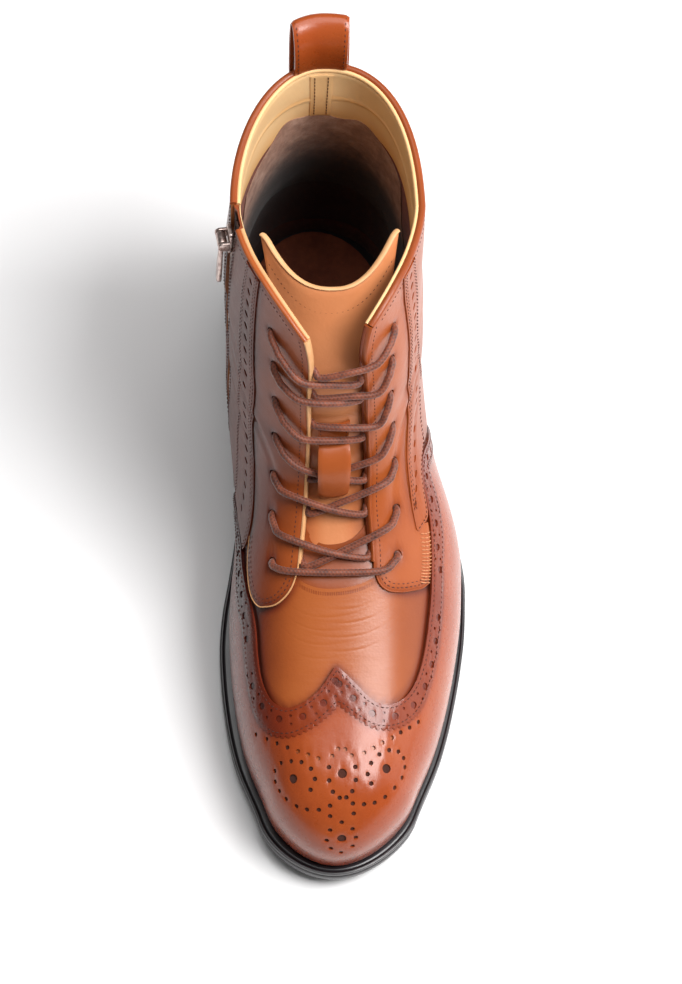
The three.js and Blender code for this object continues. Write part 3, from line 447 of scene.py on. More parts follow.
def spline(points, steps=16):
    """A smooth line through given points."""
    points = np.asarray(points, float)
    points = np.vstack([2 * points[0] - points[1], points, 2 * points[-1] - points[-2]])
    t = np.arange(steps)[:, None] / steps
    weights = [w[None] for w in spline_weights(t)]
    spans = len(points) - 3
    windows = [points[k : k + spans, None, :] for k in range(4)]
    line = sum(w * p for w, p in zip(weights, windows)).reshape(-1, points.shape[1])
    return np.vstack([line, points[-2]])


def real_places(line):
    return on_last(line[:, 0], line[:, 1], worn=False)


def walked(points):
    """The length along a line of points up to each of them."""
    return np.concatenate([[0], np.cumsum(np.linalg.norm(np.diff(points, axis=0), axis=1))])


def spaced(line, spacing, places=None):
    """The same line with its points a given distance apart. places gives the real point of each."""
    length = walked(line if places is None else places(line))
    count = max(int(round(length[-1] / spacing)), 2)
    at = np.linspace(0, length[-1], count + 1)
    return np.column_stack([np.interp(at, length, line[:, k]) for k in range(line.shape[1])])


def line_frame(line):
    """Direction of travel, left side and outward direction at each point of a chart line."""
    travel = unit(np.gradient(real_places(line), axis=0))
    out = outward(line[:, 0], line[:, 1])
    return travel, unit(np.cross(out, travel)), out


def beside(line, distance):
    """The line moved to its left by some millimetres."""
    _, left, _ = line_frame(line)
    distance = np.broadcast_to(distance, len(line))[:, None]
    around, rise = chart_move(line[:, 0], line[:, 1], left * distance)
    return np.column_stack([around, rise])


def pinked(line, depth, pitch):
    """The line cut in small teeth that stand out to its right."""
    fine = spaced(line, pitch / 4, real_places)
    phase = np.arange(len(fine)) % 4
    tooth = np.where(phase == 0, 0.0, np.where(phase == 2, 1.0, 0.72))
    return beside(fine, -depth * tooth)


# Colours are sRGB hex values.
def linear(hex_colour):
    channels = [int(hex_colour[i : i + 2], 16) / 255 for i in (1, 3, 5)]
    return [c / 12.92 if c <= 0.04045 else ((c + 0.055) / 1.055) ** 2.4 for c in channels] + [1.0]


def set_inputs(tree, node, inputs):
    """Sets a node's inputs to values, or links them to other nodes' outputs."""
    for key, value in inputs.items():
        if isinstance(value, bpy.types.NodeSocket):
            tree.links.new(value, node.inputs[key])
        else:
            node.inputs[key].default_value = value


def add_node(tree, kind, inputs=None, **settings):
    node = tree.nodes.new(kind)
    for key, value in settings.items():
        setattr(node, key, value)
    set_inputs(tree, node, inputs or {})
    return node


def ramp(tree, factor, stops):
    node = add_node(tree, "ShaderNodeValToRGB", {"Fac": factor})
    elements = node.color_ramp.elements
    while len(elements) < len(stops):
        elements.new(0.5)
    for element, (place, colour) in zip(elements, stops):
        element.position = place
        element.color = linear(colour) if isinstance(colour, str) else (colour, colour, colour, 1)
    return node.outputs["Color"]


def per_mm(size):
    return 1 / (size * METRES)


def noise(tree, place, size, detail, rough=0.5):
    """Cloudy noise whose patches measure about a size in millimetres."""
    inputs = {"Vector": place, "Scale": per_mm(size), "Detail": detail, "Roughness": rough}
    return add_node(tree, "ShaderNodeTexNoise", inputs).outputs["Fac"]


def cells(tree, place, size):
    inputs = {"Vector": place, "Scale": per_mm(size), "Randomness": 1.0}
    return add_node(tree, "ShaderNodeTexVoronoi", inputs).outputs["Distance"]


def scaled(tree, place, scale):
    return add_node(tree, "ShaderNodeMapping", {"Vector": place, "Scale": scale}).outputs["Vector"]


def arithmetic(tree, operation, a, b, clamp=False):
    return add_node(tree, "ShaderNodeMath", {0: a, 1: b}, operation=operation, use_clamp=clamp).outputs[0]


def between(tree, value, low, high):
    inputs = {"Value": value, "To Min": low, "To Max": high}
    return add_node(tree, "ShaderNodeMapRange", inputs).outputs["Result"]


def bump(tree, height, strength, depth, **under):
    """Relief of a depth in millimetres, over another relief where Normal is given."""
    inputs = {"Height": height, "Strength": strength, "Distance": depth * METRES, **under}
    return add_node(tree, "ShaderNodeBump", inputs).outputs["Normal"]


# The tone attribute darkens a surface: it holds burnish and also painted shade.
def tone_value(tree):
    return add_node(tree, "ShaderNodeAttribute", attribute_name="tone").outputs["Fac"]


def new_material(name, look, *values, **options):
    """A material whose shader inputs are what look returns for its node tree and place in the object."""
    material = bpy.data.materials.new(name)
    material.use_nodes = True
    tree = material.node_tree
    tree.nodes.clear()
    shader = add_node(tree, "ShaderNodeBsdfPrincipled")
    add_node(tree, "ShaderNodeOutputMaterial", {"Surface": shader.outputs["BSDF"]})
    place = add_node(tree, "ShaderNodeTexCoord").outputs["Object"]
    set_inputs(tree, shader, look(tree, place, *values, **options))
    return material


def leather(tree, place, stops, rough, coat, grain, grain_depth, patch=26, cloud=0.3, stretch=1.0):
    """Chrome-tanned calf: a fine pore grain, cloudy dye, and darker where the tone attribute is high."""
    shift = arithmetic(tree, "ADD", noise(tree, place, patch, 3.0, 0.55), -0.5)
    swing = arithmetic(tree, "MULTIPLY", shift, cloud)
    level = arithmetic(tree, "ADD", tone_value(tree), swing, clamp=True)
    wrinkle = noise(tree, scaled(tree, place, (1 / stretch, 1.0, 1.0)), 3.2, 5.0, 0.6)
    pores = bump(tree, cells(tree, place, grain), 0.35, grain_depth)
    return {
        "Base Color": ramp(tree, level, stops),
        "Roughness": between(tree, wrinkle, rough - 0.06, rough + 0.09),
        "Normal": bump(tree, wrinkle, 0.4, 0.25, Normal=pores),
        "Coat Weight": coat,
        "Coat Roughness": 0.22,
        "IOR": 1.36,
    }


def suede(tree, place, stops):
    """Split leather buffed to a nap: matt, a soft sheen, and patches where the nap lies the other way."""
    nap = ramp(tree, noise(tree, place, 7, 6.0, 0.7), stops)
    # The tone attribute mixes the nap towards near-black: painted shade.
    inputs = {"Factor": tone_value(tree), 6: nap, 7: linear("#1c0a06")}
    return {
        "Base Color": add_node(tree, "ShaderNodeMix", inputs, data_type="RGBA").outputs[2],
        "Normal": bump(tree, noise(tree, place, 0.8, 3.0, 0.7), 0.7, 0.3),
        "Roughness": 0.95,
        "Sheen Weight": 0.08,
    }


def waxed_cotton(tree, place):
    """Braided cotton lace rubbed with wax: strands show as small ridges, with a dull gloss on them."""
    dust = arithmetic(tree, "ADD", noise(tree, place, 4, 4.0), -0.3)
    level = arithmetic(tree, "ADD", tone_value(tree), dust, clamp=True)
    return {
        "Base Color": ramp(tree, level, [(0.0, "#a05a38"), (0.5, "#7c3c22"), (1.0, "#3a160c")]),
        "Normal": bump(tree, noise(tree, place, 0.45, 2.0), 0.4, 0.15),
        "Roughness": 0.55,
        "Sheen Weight": 0.2,
    }


def linen_thread(tree, place, colour, dark):
    """Waxed linen sewing thread, twisted: a slight change of shade from stitch to stitch."""
    shade = noise(tree, place, 2.5, 2.0)
    return {"Base Color": ramp(tree, shade, [(0.3, colour), (0.7, dark)]), "Roughness": 0.6}


def edge_ink(tree, place):
    """Sole edge dressed with black wax ink and burnished: nearly black, with a soft streaky gloss."""
    streaks = noise(tree, scaled(tree, place, (1.0, 1.0, 6.0)), 9, 5.0, 0.6)
    return {
        "Base Color": ramp(tree, streaks, [(0.3, "#141013"), (0.75, "#262024")]),
        "Roughness": between(tree, streaks, 0.24, 0.42),
        "Normal": bump(tree, streaks, 0.25, 0.2),
        "Coat Weight": 0.2,
    }


def sole_rubber(tree, place):
    """Vulcanised rubber with a fine moulded crepe: matt black, slightly worn where it meets the floor."""
    scuffs = noise(tree, place, 14, 6.0)
    return {
        "Base Color": ramp(tree, scuffs, [(0.35, "#151214"), (0.8, "#2e292b")]),
        "Normal": bump(tree, cells(tree, place, 1.8), 0.5, 0.25),
        "Roughness": 0.72,
    }


def stacked_leather(tree, place):
    """A heel of thin leather lifts, inked black: fine level lines where the lifts meet."""
    height = add_node(tree, "ShaderNodeSeparateXYZ", {"Vector": place}).outputs["Z"]
    level = arithmetic(tree, "MULTIPLY", height, per_mm(4.2))
    part = add_node(tree, "ShaderNodeMath", {0: level}, operation="FRACT").outputs[0]
    seam_line = ramp(tree, part, [(0.0, 0.0), (0.06, 1.0), (0.94, 1.0), (1.0, 0.0)])
    return {
        "Base Color": ramp(tree, noise(tree, place, 5, 6.0), [(0.3, "#161113"), (0.8, "#2a2223")]),
        "Normal": bump(tree, seam_line, 0.5, 0.3),
        "Roughness": 0.38,
        "Coat Weight": 0.15,
    }


def woven_tape(tree, place):
    """Polyester zip tape in a herringbone weave: fine ribs that catch a little light."""
    inputs = {"Vector": place, "Scale": per_mm(6), "Distortion": 1.5, "Detail": 1.0}
    ribs = add_node(tree, "ShaderNodeTexWave", inputs, bands_direction="Z").outputs["Fac"]
    return {
        "Base Color": ramp(tree, ribs, [(0.0, "#20130e"), (1.0, "#4a2c20")]),
        "Normal": bump(tree, ribs, 0.6, 0.2),
        "Roughness": 0.85,
    }


def antique_nickel(tree, place):
    """Nickel-plated zinc casting, darkened and rubbed back: warm grey with brighter high spots."""
    patina = noise(tree, place, 2.2, 5.0)
    return {
        "Base Color": ramp(tree, patina, [(0.3, "#8a6c64"), (0.6, "#dccac2")]),
        "Roughness": between(tree, patina, 0.22, 0.45),
        "Normal": bump(tree, patina, 0.2, 0.1),
        "Metallic": 1.0,
    }


def paper(tree, place):
    """A roll of matt white paper."""
    tooth = noise(tree, place, 300, 2.0)
    return {"Base Color": ramp(tree, tooth, [(0.0, "#f2f1f1"), (1.0, "#f7f6f6")]), "Roughness": 0.9}


CALF_STOPS = [(0.0, "#b4622f"), (0.35, "#9b4b20"), (0.7, "#6e2b10"), (1.0, "#350f06")]
BURNISHED_STOPS = [(0.0, "#ae5a29"), (0.3, "#984219"), (0.65, "#6e250d"), (1.0, "#320c06")]
VAMP_STOPS = [(0.0, "#b26430"), (0.4, "#9a4d21"), (0.75, "#6e2b11"), (1.0, "#351006")]
NAPPA_STOPS = [(0.0, "#d08a5c"), (0.4, "#bd7042"), (0.8, "#8a4522"), (1.0, "#44190b")]
LINING_STOPS = [(0.0, "#f6cf9a"), (0.3, "#e6b377"), (0.65, "#a8683a"), (1.0, "#4a2212")]
RAW_EDGE_STOPS = [(0.0, "#dfae7c"), (0.5, "#c98c5a"), (1.0, "#8c5028")]
HEEL_GRIP_STOPS = [(0.3, "#7a5644"), (0.5, "#9c7460"), (0.75, "#bc9884")]
INSOLE_STOPS = [(0.3, "#6a3220"), (0.6, "#7e4028"), (0.85, "#925036")]
DARK_LINING_STOPS = [(0.3, "#6a2c16"), (0.6, "#8a4022"), (0.85, "#a25632")]

# A leather's values are its roughness, wax coat, size and depth of grain, and size and strength of clouds.
# The cut edge is undyed tan fibres under a thin wax, so it is pale and a little rough.
MATERIALS = {
    "calf": new_material("polished_calf", leather, CALF_STOPS, 0.34, 0.14, 1.1, 0.05),
    "burnished": new_material("burnished_calf", leather, BURNISHED_STOPS, 0.27, 0.32, 1.0, 0.04),
    "vamp": new_material("vamp_calf", leather, VAMP_STOPS, 0.33, 0.26, 1.3, 0.07, stretch=9.0),
    "nappa": new_material("soft_nappa", leather, NAPPA_STOPS, 0.42, 0.1, 1.5, 0.12),
    "lining": new_material("lining_leather", leather, LINING_STOPS, 0.62, 0.0, 1.6, 0.06, 18, 0.2),
    "edge": new_material("raw_edge", leather, RAW_EDGE_STOPS, 0.5, 0.05, 0.6, 0.06, 6, 0.5),
    "heel_grip": new_material("heel_grip_suede", suede, HEEL_GRIP_STOPS),
    "insole": new_material("insole_suede", suede, INSOLE_STOPS),
    "dark_lining": new_material("side_lining_suede", suede, DARK_LINING_STOPS),
    "lace": new_material("waxed_cotton", waxed_cotton),
    "thread": new_material("linen_thread", linen_thread, "#5c2412", "#3e140a"),
    "pale_thread": new_material("pale_linen_thread", linen_thread, "#d69468", "#b87248"),
    "edge_ink": new_material("edge_ink", edge_ink),
    "rubber": new_material("sole_rubber", sole_rubber),
    "heel_stack": new_material("stacked_leather", stacked_leather),
    "tape": new_material("woven_tape", woven_tape),
    "nickel": new_material("antique_nickel", antique_nickel),
    "floor": new_material("studio_floor", paper),
}

# The scene's frame: the boot's sole as packed gives the shift from the chart's own frame.
sole_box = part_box("outsole")
stations = np.linspace(0, 1, 400)
half_outer = (outer_edge(stations) * BALL_WIDTH * round_end((1 - stations) * SOLE_LENGTH / TOE_ROUND)).max()
SHIFT = np.array([sole_box[1][0] / METRES - half_outer, sole_box[1][1] / METRES, 0.0])


def make_piece(name, points, faces, finish, body="boot", replaces=(), tone=0.35, sharp=40, extra=(),
               closed=True):
    """A mesh object from points in millimetres. extra holds further materials, each with its faces."""
    if name in replaces:
        name = f"{name}_skin"
    mesh = bpy.data.meshes.new(name)
    places = (np.asarray(points) + SHIFT) * METRES
    mesh.from_pydata(places.tolist(), [], [list(map(int, face)) for face in faces])
    if closed:
        shape = bmesh.new()
        shape.from_mesh(mesh)
        bmesh.ops.recalc_face_normals(shape, faces=shape.faces)
        shape.to_mesh(mesh)
        shape.free()
    mesh.polygons.foreach_set("use_smooth", np.ones(len(mesh.polygons), bool))
    mesh.set_sharp_from_angle(angle=math.radians(sharp))
    mesh.materials.append(MATERIALS[finish])
    for indices, material in extra:
        mesh.materials.append(MATERIALS[material])
        for index in indices:
            mesh.polygons[index].material_index = len(mesh.materials) - 1
    layer = mesh.attributes.new("tone", "FLOAT", "POINT")
    layer.data.foreach_set("value", np.broadcast_to(tone, len(points)).astype(np.float32))
    mesh.validate()
    mesh.update()
    piece = bpy.data.objects.new(name, mesh)
    bpy.context.collection.objects.link(piece)
    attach(piece, body)
    if replaces:
        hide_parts(*replaces)


def tube_faces(rings, sides, start=0, capped=True):
    """Faces between rings of points that follow one another, with both ends closed if capped."""
    faces = []
    for first in range(start, start + (rings - 1) * sides, sides):
        for k in range(sides):
            n = (k + 1) % sides
            faces.append((first + k, first + n, first + sides + n, first + sides + k))
    if capped:
        faces.append(tuple(range(start + sides - 1, start - 1, -1)))
        faces.append(tuple(range(start + (rings - 1) * sides, start + rings * sides)))
    return faces


def inside(points, polygon):
    """Which points lie inside a closed polygon."""
    x, y = points[:, 0], points[:, 1]
    result = np.zeros(len(points), bool)
    ahead = np.roll(polygon, -1, axis=0)
    for (ax, ay), (bx, by) in zip(polygon, ahead):
        if ay == by:
            continue
        crosses = (ay > y) != (by > y)
        result ^= crosses & (x < (bx - ax) * (y - ay) / (by - ay) + ax)
    return result


def nearest(points, others):
    """Distance from each point to the nearest of others."""
    tree = KDTree(len(others))
    for index, other in enumerate(others):
        tree.insert(other, index)
    tree.balance()
    return np.array([tree.find(point)[2] for point in points])


RISE_SCALE = 180  # makes the chart's cells about square for the triangulation
KEEP_CLEAR = 0.6  # least distance in mm between the inner points and the edges


def chart_mesh(loops, cell):
    """Triangles over a chart region. loops[0] is its outline and the others are its holes."""
    outline = loops[0]
    low, high = outline.min(axis=0), outline.max(axis=0)
    columns = np.arange(low[0] + cell[0] / 2, high[0], cell[0])
    levels = np.arange(low[1] + cell[1] / 2, high[1], cell[1])
    grid = np.array(np.meshgrid(columns, levels)).reshape(2, -1).T
    level = np.round((grid[:, 1] - low[1]) / cell[1]).astype(int)
    grid[:, 0] += np.where(level % 2 == 0, 0, cell[0] / 2)
    grid = grid[inside(grid, outline)]
    grid = grid[nearest(real_places(grid), real_places(np.vstack(loops))) > KEEP_CLEAR]
    for opening in loops[1:]:
        grid = grid[~inside(grid, opening)]
    points, edges = [], []
    for loop in loops:
        first = len(points)
        points.extend(loop)
        edges.extend((first + k, first + (k + 1) % len(loop)) for k in range(len(loop)))
    points.extend(grid)
    flat = [Vector((p[0], p[1] * RISE_SCALE)) for p in points]
    made, _, faces, origins, _, _ = delaunay_2d_cdt(flat, edges, [], 0, 1e-6)
    made = np.array([[v.x, v.y / RISE_SCALE] for v in made])
    faces = np.array(faces)
    middles = made[faces].mean(axis=1)
    kept = inside(middles, outline)
    for opening in loops[1:]:
        kept &= ~inside(middles, opening)
    faces = faces[kept]
    places = {}
    for index, sources in enumerate(origins):
        for source in sources:
            places[source] = index
    rims = []
    start = 0
    for loop in loops:
        rims.append([places[start + k] for k in range(len(loop)) if start + k in places])
        start += len(loop)
    used = np.unique(np.concatenate([faces.ravel(), np.concatenate(rims)]))
    renumber = np.full(len(made), -1)
    renumber[used] = np.arange(len(used))
    rims = [[int(renumber[v]) for v in rim] for rim in rims]
    return made[used], renumber[faces], rims


def tone_near(points, marks):
    """Extra tone near chart lines. Each mark is a line, its reach in mm and its amount."""
    total = np.zeros(len(points))
    for line, reach, amount in marks:
        gaps = nearest(points, on_last(line[:, 0], line[:, 1]))
        total += amount * np.exp(-((gaps / reach) ** 2))
    return total


def lay_panel(name, loops, finish, cell, low, high, dark, base_tone=0.3, round_off=0.3,
              replaces=(), hole_drop=0.12, edge_finish="edge"):
    """A leather panel over the last: its face, and the walls of its outline and of its holes."""
    chart, faces, rims = chart_mesh(loops, cell)
    height = np.full(len(chart), float(high))
    height[rims[0]] = high - round_off
    for rim in rims[1:]:
        height[rim] = high - hole_drop
    face_points = on_last(chart[:, 0], chart[:, 1], height)
    # Darker near the lines in dark, plus burnish and painted side shade.
    tone = base_tone + tone_near(face_points, dark) + burnish_and_side_shade(chart)
    points = [face_points]
    tones = [tone]
    corner = face_points[faces[:, 0]]
    normals = np.cross(face_points[faces[:, 1]] - corner, face_points[faces[:, 2]] - corner)
    turned = (normals * outward(*chart[faces[:, 0]].T)).sum(axis=1) < 0
    faces[turned] = faces[turned][:, ::-1]
    edges = {(a, b) for face in faces.tolist() for a, b in zip(face, face[1:] + face[:1])}
    walls = []
    count = len(chart)
    for rim in rims:
        rim = np.array(rim)
        points.append(on_last(chart[rim, 0], chart[rim, 1], low))
        tones.append(tone[rim])
        for k in range(len(rim)):
            n = (k + 1) % len(rim)
            if (rim[k], rim[n]) in edges:
                walls.append((rim[n], rim[k], count + k, count + n))
            else:
                walls.append((rim[k], rim[n], count + n, count + k))
        count += len(rim)
    all_faces = [*faces.tolist(), *walls]
    wall_indices = range(len(faces), len(faces) + len(rims[0]))
    make_piece(
        name, np.vstack(points), all_faces, finish, replaces=replaces,
        tone=np.clip(np.concatenate(tones), 0, 1), extra=[(wall_indices, edge_finish)], closed=False,
    )


def burnish_and_side_shade(chart):
    """Burnish rubbed in by hand at the toe's tip, darker low along the sole, and painted shade on the inner
    side.
    """
    around, rise = chart[:, 0], chart[:, 1]
    around = (around + 180) % 360 - 180
    toe = np.exp(-((around / 46) ** 2)) * np.exp(-((rise / 0.16) ** 2))
    feather = 0.25 * np.exp(-((rise / 0.05) ** 2))
    sides = smooth((180 - np.abs(around)) / 70)
    # Painted shade over the inner side; the outer side a little darker too.
    inner = 0.46 * smooth((-around - 12) / 55) * sides
    outer = 0.08 * smooth((around - 60) / 40) * sides
    return 0.18 * toe + feather + inner + outer


def hole(around, rise, radius, stretch=1.0, lean=0.0, points=9):
    """A round or oval hole as a chart loop. lean is its long axis's angle from straight up in degrees."""
    turn = np.linspace(0, 2 * np.pi, points, endpoint=False)
    a, r = np.full(points, float(around)), np.full(points, float(rise))
    out = outward(a, r)
    up = unit(on_last(a, r + 0.003, worn=False) - on_last(a, r - 0.003, worn=False))
    side = unit(np.cross(up, out))
    tilt = math.radians(lean)
    long_axis = up * math.cos(tilt) + side * math.sin(tilt)
    short_axis = side * math.cos(tilt) - up * math.sin(tilt)
    move = long_axis * (radius * stretch * np.cos(turn))[:, None]
    move = move + short_axis * (radius * np.sin(turn))[:, None]
    return np.column_stack(chart_move(a, r, move))


def at_spacing(line, pitch, offset=0.0):
    """Places a pitch apart along a chart line."""
    length = walked(real_places(line))
    at = np.arange(offset, length[-1], pitch)
    return np.column_stack([np.interp(at, length, line[:, k]) for k in range(2)])


# Stitches: each is a short plump thread whose two ends dip into the leather.
STITCH_RINGS = 5
STITCH_SIDES = 6


def stitch_points(centre, travel, out, length, radius):
    share = np.linspace(-1, 1, STITCH_RINGS)
    plump = np.sqrt(np.maximum(1 - (share * 0.92) ** 2, 0))
    sink = -0.9 * radius * share**4
    turn = np.linspace(0, 2 * np.pi, STITCH_SIDES, endpoint=False)
    side = np.cross(out, travel)
    points = (
        centre[:, None, None, :]
        + travel[:, None, None, :] * (share * length / 2)[None, :, None, None]
        + out[:, None, None, :] * sink[None, :, None, None]
        + out[:, None, None, :] * (radius * plump[:, None] * np.cos(turn)[None, :])[None, :, :, None]
        + side[:, None, None, :] * (radius * plump[:, None] * np.sin(turn)[None, :])[None, :, :, None]
    )
    return points.reshape(-1, 3)


def stitch_faces(count):
    size = STITCH_RINGS * STITCH_SIDES
    starts = range(0, count * size, size)
    return [face for start in starts for face in tube_faces(STITCH_RINGS, STITCH_SIDES, start, capped=False)]


def sew(name, rows, length=1.5, radius=0.22, finish="thread"):
    """Rows of stitches. Each row is points with their travel and out directions."""
    points = np.vstack([stitch_points(*row, length, radius) for row in rows])
    count = len(points) // (STITCH_RINGS * STITCH_SIDES)
    make_piece(name, points, stitch_faces(count), finish, sharp=70)


def seam(line, out, pitch=2.4):
    """Stitch places along a chart line at a distance outside the last."""
    fine = spaced(line, pitch, real_places)
    middle = (fine[1:] + fine[:-1]) / 2
    real = on_last(fine[:, 0], fine[:, 1], out)
    travel = unit(real[1:] - real[:-1])
    return on_last(middle[:, 0], middle[:, 1], out), travel, outward(middle[:, 0], middle[:, 1])


def sweep(name, path, across, out, section, finish, tone):
    """A section carried along a path. section gives distances across and out for each of its points."""
    points = path[:, None] + across[:, None] * section[:, :1] + out[:, None] * section[:, 1:]
    count = len(section)
    make_piece(name, points.reshape(-1, 3), tube_faces(len(path), count), finish, tone=tone)


def oval(width, height, count):
    turn = np.linspace(0, 2 * np.pi, count, endpoint=False)
    return np.column_stack([np.cos(turn) * width / 2, np.sin(turn) * height / 2])


def thick_sheet(name, middle, half, finish, tone, replaces=(), back_finish=None):
    """A sheet about a grid of points. half is half its thickness, and may change over the grid."""
    rows, columns = middle.shape[:2]
    normals = unit(np.cross(np.gradient(middle, axis=1), np.gradient(middle, axis=0)))
    half = np.broadcast_to(half, (rows, columns))[..., None]
    points = np.vstack([(middle + normals * half).reshape(-1, 3), (middle - normals * half).reshape(-1, 3)])
    index = np.arange(rows * columns).reshape(rows, columns)
    a, b, c, d = (index[:-1, :-1], index[:-1, 1:], index[1:, 1:], index[1:, :-1])
    front = np.stack([a, b, c, d], -1).reshape(-1, 4)
    back = front[:, ::-1] + rows * columns
    rim = np.concatenate([index[0, :-1], index[:-1, -1], index[-1, :0:-1], index[:0:-1, 0]])
    after = np.roll(rim, -1)
    walls = np.stack([after, rim, rim + rows * columns, after + rows * columns], -1)
    faces = np.vstack([front, back, walls]).tolist()
    extra = [(range(len(front), 2 * len(front)), back_finish)] if back_finish else ()
    tones = np.tile(np.broadcast_to(tone, (rows, columns)).reshape(-1), 2)
    make_piece(name, points, faces, finish, replaces=replaces, tone=tones, extra=extra, sharp=50)


# Lines of the pattern on the chart.
side_front = {side: column(SIDE_PANELS, "rise", side) for side in ("inner", "outer")}


def even(line, spacing=1.0):
    return spaced(np.asarray(line, float), spacing, real_places)


def up_line(turning, low, high, steps=80):
    """A line whose angle is a function of the rise."""
    rise = np.linspace(low, high, steps)
    return np.column_stack([turning(rise), rise])


def level_line(start, end, rise):
    around = np.linspace(start, end, 80)
    return np.column_stack([around, np.full(80, float(rise))])


def loop(*lines, spacing=1.0):
    """A closed outline from lines that follow one another."""
    parts = [even(line, spacing)[:-1] for line in lines]
    return np.vstack(parts)


wing_top = even(np.vstack([spline(WINGS[: WING_PEAK + 1]), spline(WINGS[WING_PEAK:])[1:]]))

BAND_FOOT = [
    (-54.8, 0.338), (-50, 0.307), (-45, 0.281), (-40.4, 0.275), (-35, 0.284), (-26.4, 0.305),
    (-17.8, 0.325), (-9.6, 0.341), (-2.5, 0.354), (2.4, 0.3635), (6.5, 0.357), (12, 0.347), (21, 0.328),
    (29.5, 0.313), (38, 0.298), (44.4, 0.29), (49.4, 0.293), (55.3, 0.307), (60.7, 0.337), (66.5, 0.378),
    (74, 0.382),
]
WING_WIDTH = {"inner": 6.8, "outer": 6.4}


def band_foot():
    """The lower edge of the wings' band: listed at the front, a constant width along the sides."""
    inner = beside(wing_top, -WING_WIDTH["inner"])[wing_top[:, 0] < -64]
    outer = beside(wing_top, -WING_WIDTH["outer"])[wing_top[:, 0] > 82]
    return even(np.vstack([inner, spline(BAND_FOOT), outer]), 0.6)


band_low = band_foot()


def zip_line(rise, shift=0.0):
    t = (rise - ZIP_FOOT[0]) / (ZIP_TOP[0] - ZIP_FOOT[0])
    along = ZIP_FOOT[1] + (ZIP_TOP[1] - ZIP_FOOT[1]) * t + shift
    dx = -ZIP_CHART / (chart_width(rise) * BALL_WIDTH)
    dy = (along - chart_centre(rise) * SOLE_LENGTH) / (chart_length(rise) * SOLE_LENGTH)
    return np.degrees(np.arctan2(dx, dy))


def notch(rise):
    return ZIP_NOTCH / 2 * smooth((rise - NOTCH_START) / (1 - NOTCH_START))


def zip_side(rise):
    """Half the opening between the panels at the zip. It closes to a seam below the zip's foot."""
    open_part = smooth((rise - ZIP_FOOT[0] + 0.006) / 0.012)
    return 0.1 + (ZIP_MOUTH / 2 - 0.1) * open_part + notch(rise)


EDGE_LOW = 0.012
EDGE_HIGH = 0.997
LOW, HIGH = PANEL_GAP - 0.5, OVER_PANELS
VAMP_OUT = 0.45
OVERLAY = 0.6  # thickness of the bands laid over the panels


# Shell under the panels: the vamp with its creases, and the shaft from throat edge round to throat edge.
def vamp():
    rise = np.concatenate([np.arange(-0.012, 0.38, 0.01), np.arange(0.38, 0.5121, 0.0012)])
    around = np.arange(-180, 180.1, 1.5)
    a, r = np.meshgrid(around, rise)
    middle = on_last(a, r, (VAMP_OUT - WALL) / 2)
    flat = on_last(a, r, VAMP_OUT).reshape(-1, 3)
    tone = 0.3 + burnish_and_side_shade(np.column_stack([a.ravel(), r.ravel()]))
    # Darker towards the vamp's sides: painted shade where they turn from the light.
    tone += 0.25 * smooth((np.abs(a.ravel()) - 22) / 34)
    # Painted shade next to the wing cap's edge and below the lacing panels' feet.
    panel_foot_shade = [(lacing_foot(side), 2.4, 0.35) for side in ("outer", "inner")]
    tone += tone_near(flat, [(wing_top, 2.2, 0.4), *panel_foot_shade])
    thick_sheet("vamp", middle, (VAMP_OUT + WALL) / 2, "vamp", replaces=["upper"],
                tone=tone.reshape(a.shape), back_finish="dark_lining")
    a, r = np.meshgrid(np.linspace(-33, 41, 60), np.linspace(0.503, 0.562, 40))
    out = VAMP_OUT - 0.25 - (VAMP_OUT + 2.4) * smooth((r - 0.508) / 0.05)
    thick_sheet("vamp_join", on_last(a, r, out), 0.25, "vamp", tone=0.55)


def shaft_shell():
    rise = np.linspace(0.505, 0.995, 70)
    share = np.linspace(0, 1, 190)
    start = throat["outer"](rise) + 0.5
    end = 360 + throat["inner"](rise) - 0.5
    a = start[:, None] + (end - start)[:, None] * share[None, :]
    r = np.broadcast_to(rise[:, None], a.shape)
    slot = np.abs((a - 360) - zip_line(r)) * 1.25
    sunk = 1.1 * smooth((ZIP_SLOT / 2 + notch(r) - slot) / 1.2)
    middle = on_last(a, r, -WALL / 2 - sunk / 2)
    thick_sheet("shaft_shell", middle, (WALL - sunk) / 2, "vamp", replaces=["upper"], tone=0.6,
                back_finish="dark_lining")


LACING_FOOT = {
    "outer": [
        (28.5, 0.522), (30.5, 0.502), (34.5, 0.486), (42, 0.467), (48.5, 0.449), (53.5, 0.432),
        (57.6, 0.419),
    ],
    "inner": [
        (-22, 0.522), (-24.3, 0.502), (-27, 0.486), (-31, 0.468), (-35.5, 0.45), (-41, 0.43), (-46, 0.411),
        (-52, 0.396), (-58, 0.391), (-64, 0.391),
    ],
}


def lacing_foot(side):
    return even(spline(LACING_FOOT[side]))


def throat_line(side, low=0.522):
    return up_line(throat[side], low, EDGE_HIGH)


PERFORATION = {"large": 1.5, "small": 0.62, "step": 5.0, "start": 4.0, "apart": 1.7, "clear": 2.2}


def perforations(line, edges):
    """Along a band, one large hole and then two small ones over each other, again and again."""
    holes = []
    _, left, _ = line_frame(line)
    places = at_spacing(line, PERFORATION["step"], PERFORATION["start"])
    for k, (a, r) in enumerate(places):
        point = on_last(a, r, worn=False)
        if min(np.linalg.norm(edge - point, axis=1).min() for edge in edges) < PERFORATION["clear"]:
            continue
        if k % 2 == 0:
            holes.append(hole(a, r, PERFORATION["large"], points=14))
            continue
        index = np.argmin(np.abs(line[:, 0] - a) + 100 * np.abs(line[:, 1] - r))
        for side in (-1, 1):
            move = left[index] * side * PERFORATION["apart"]
            around, rise = chart_move(a, r, move)
            holes.append(hole(around, rise, PERFORATION["small"]))
    return holes


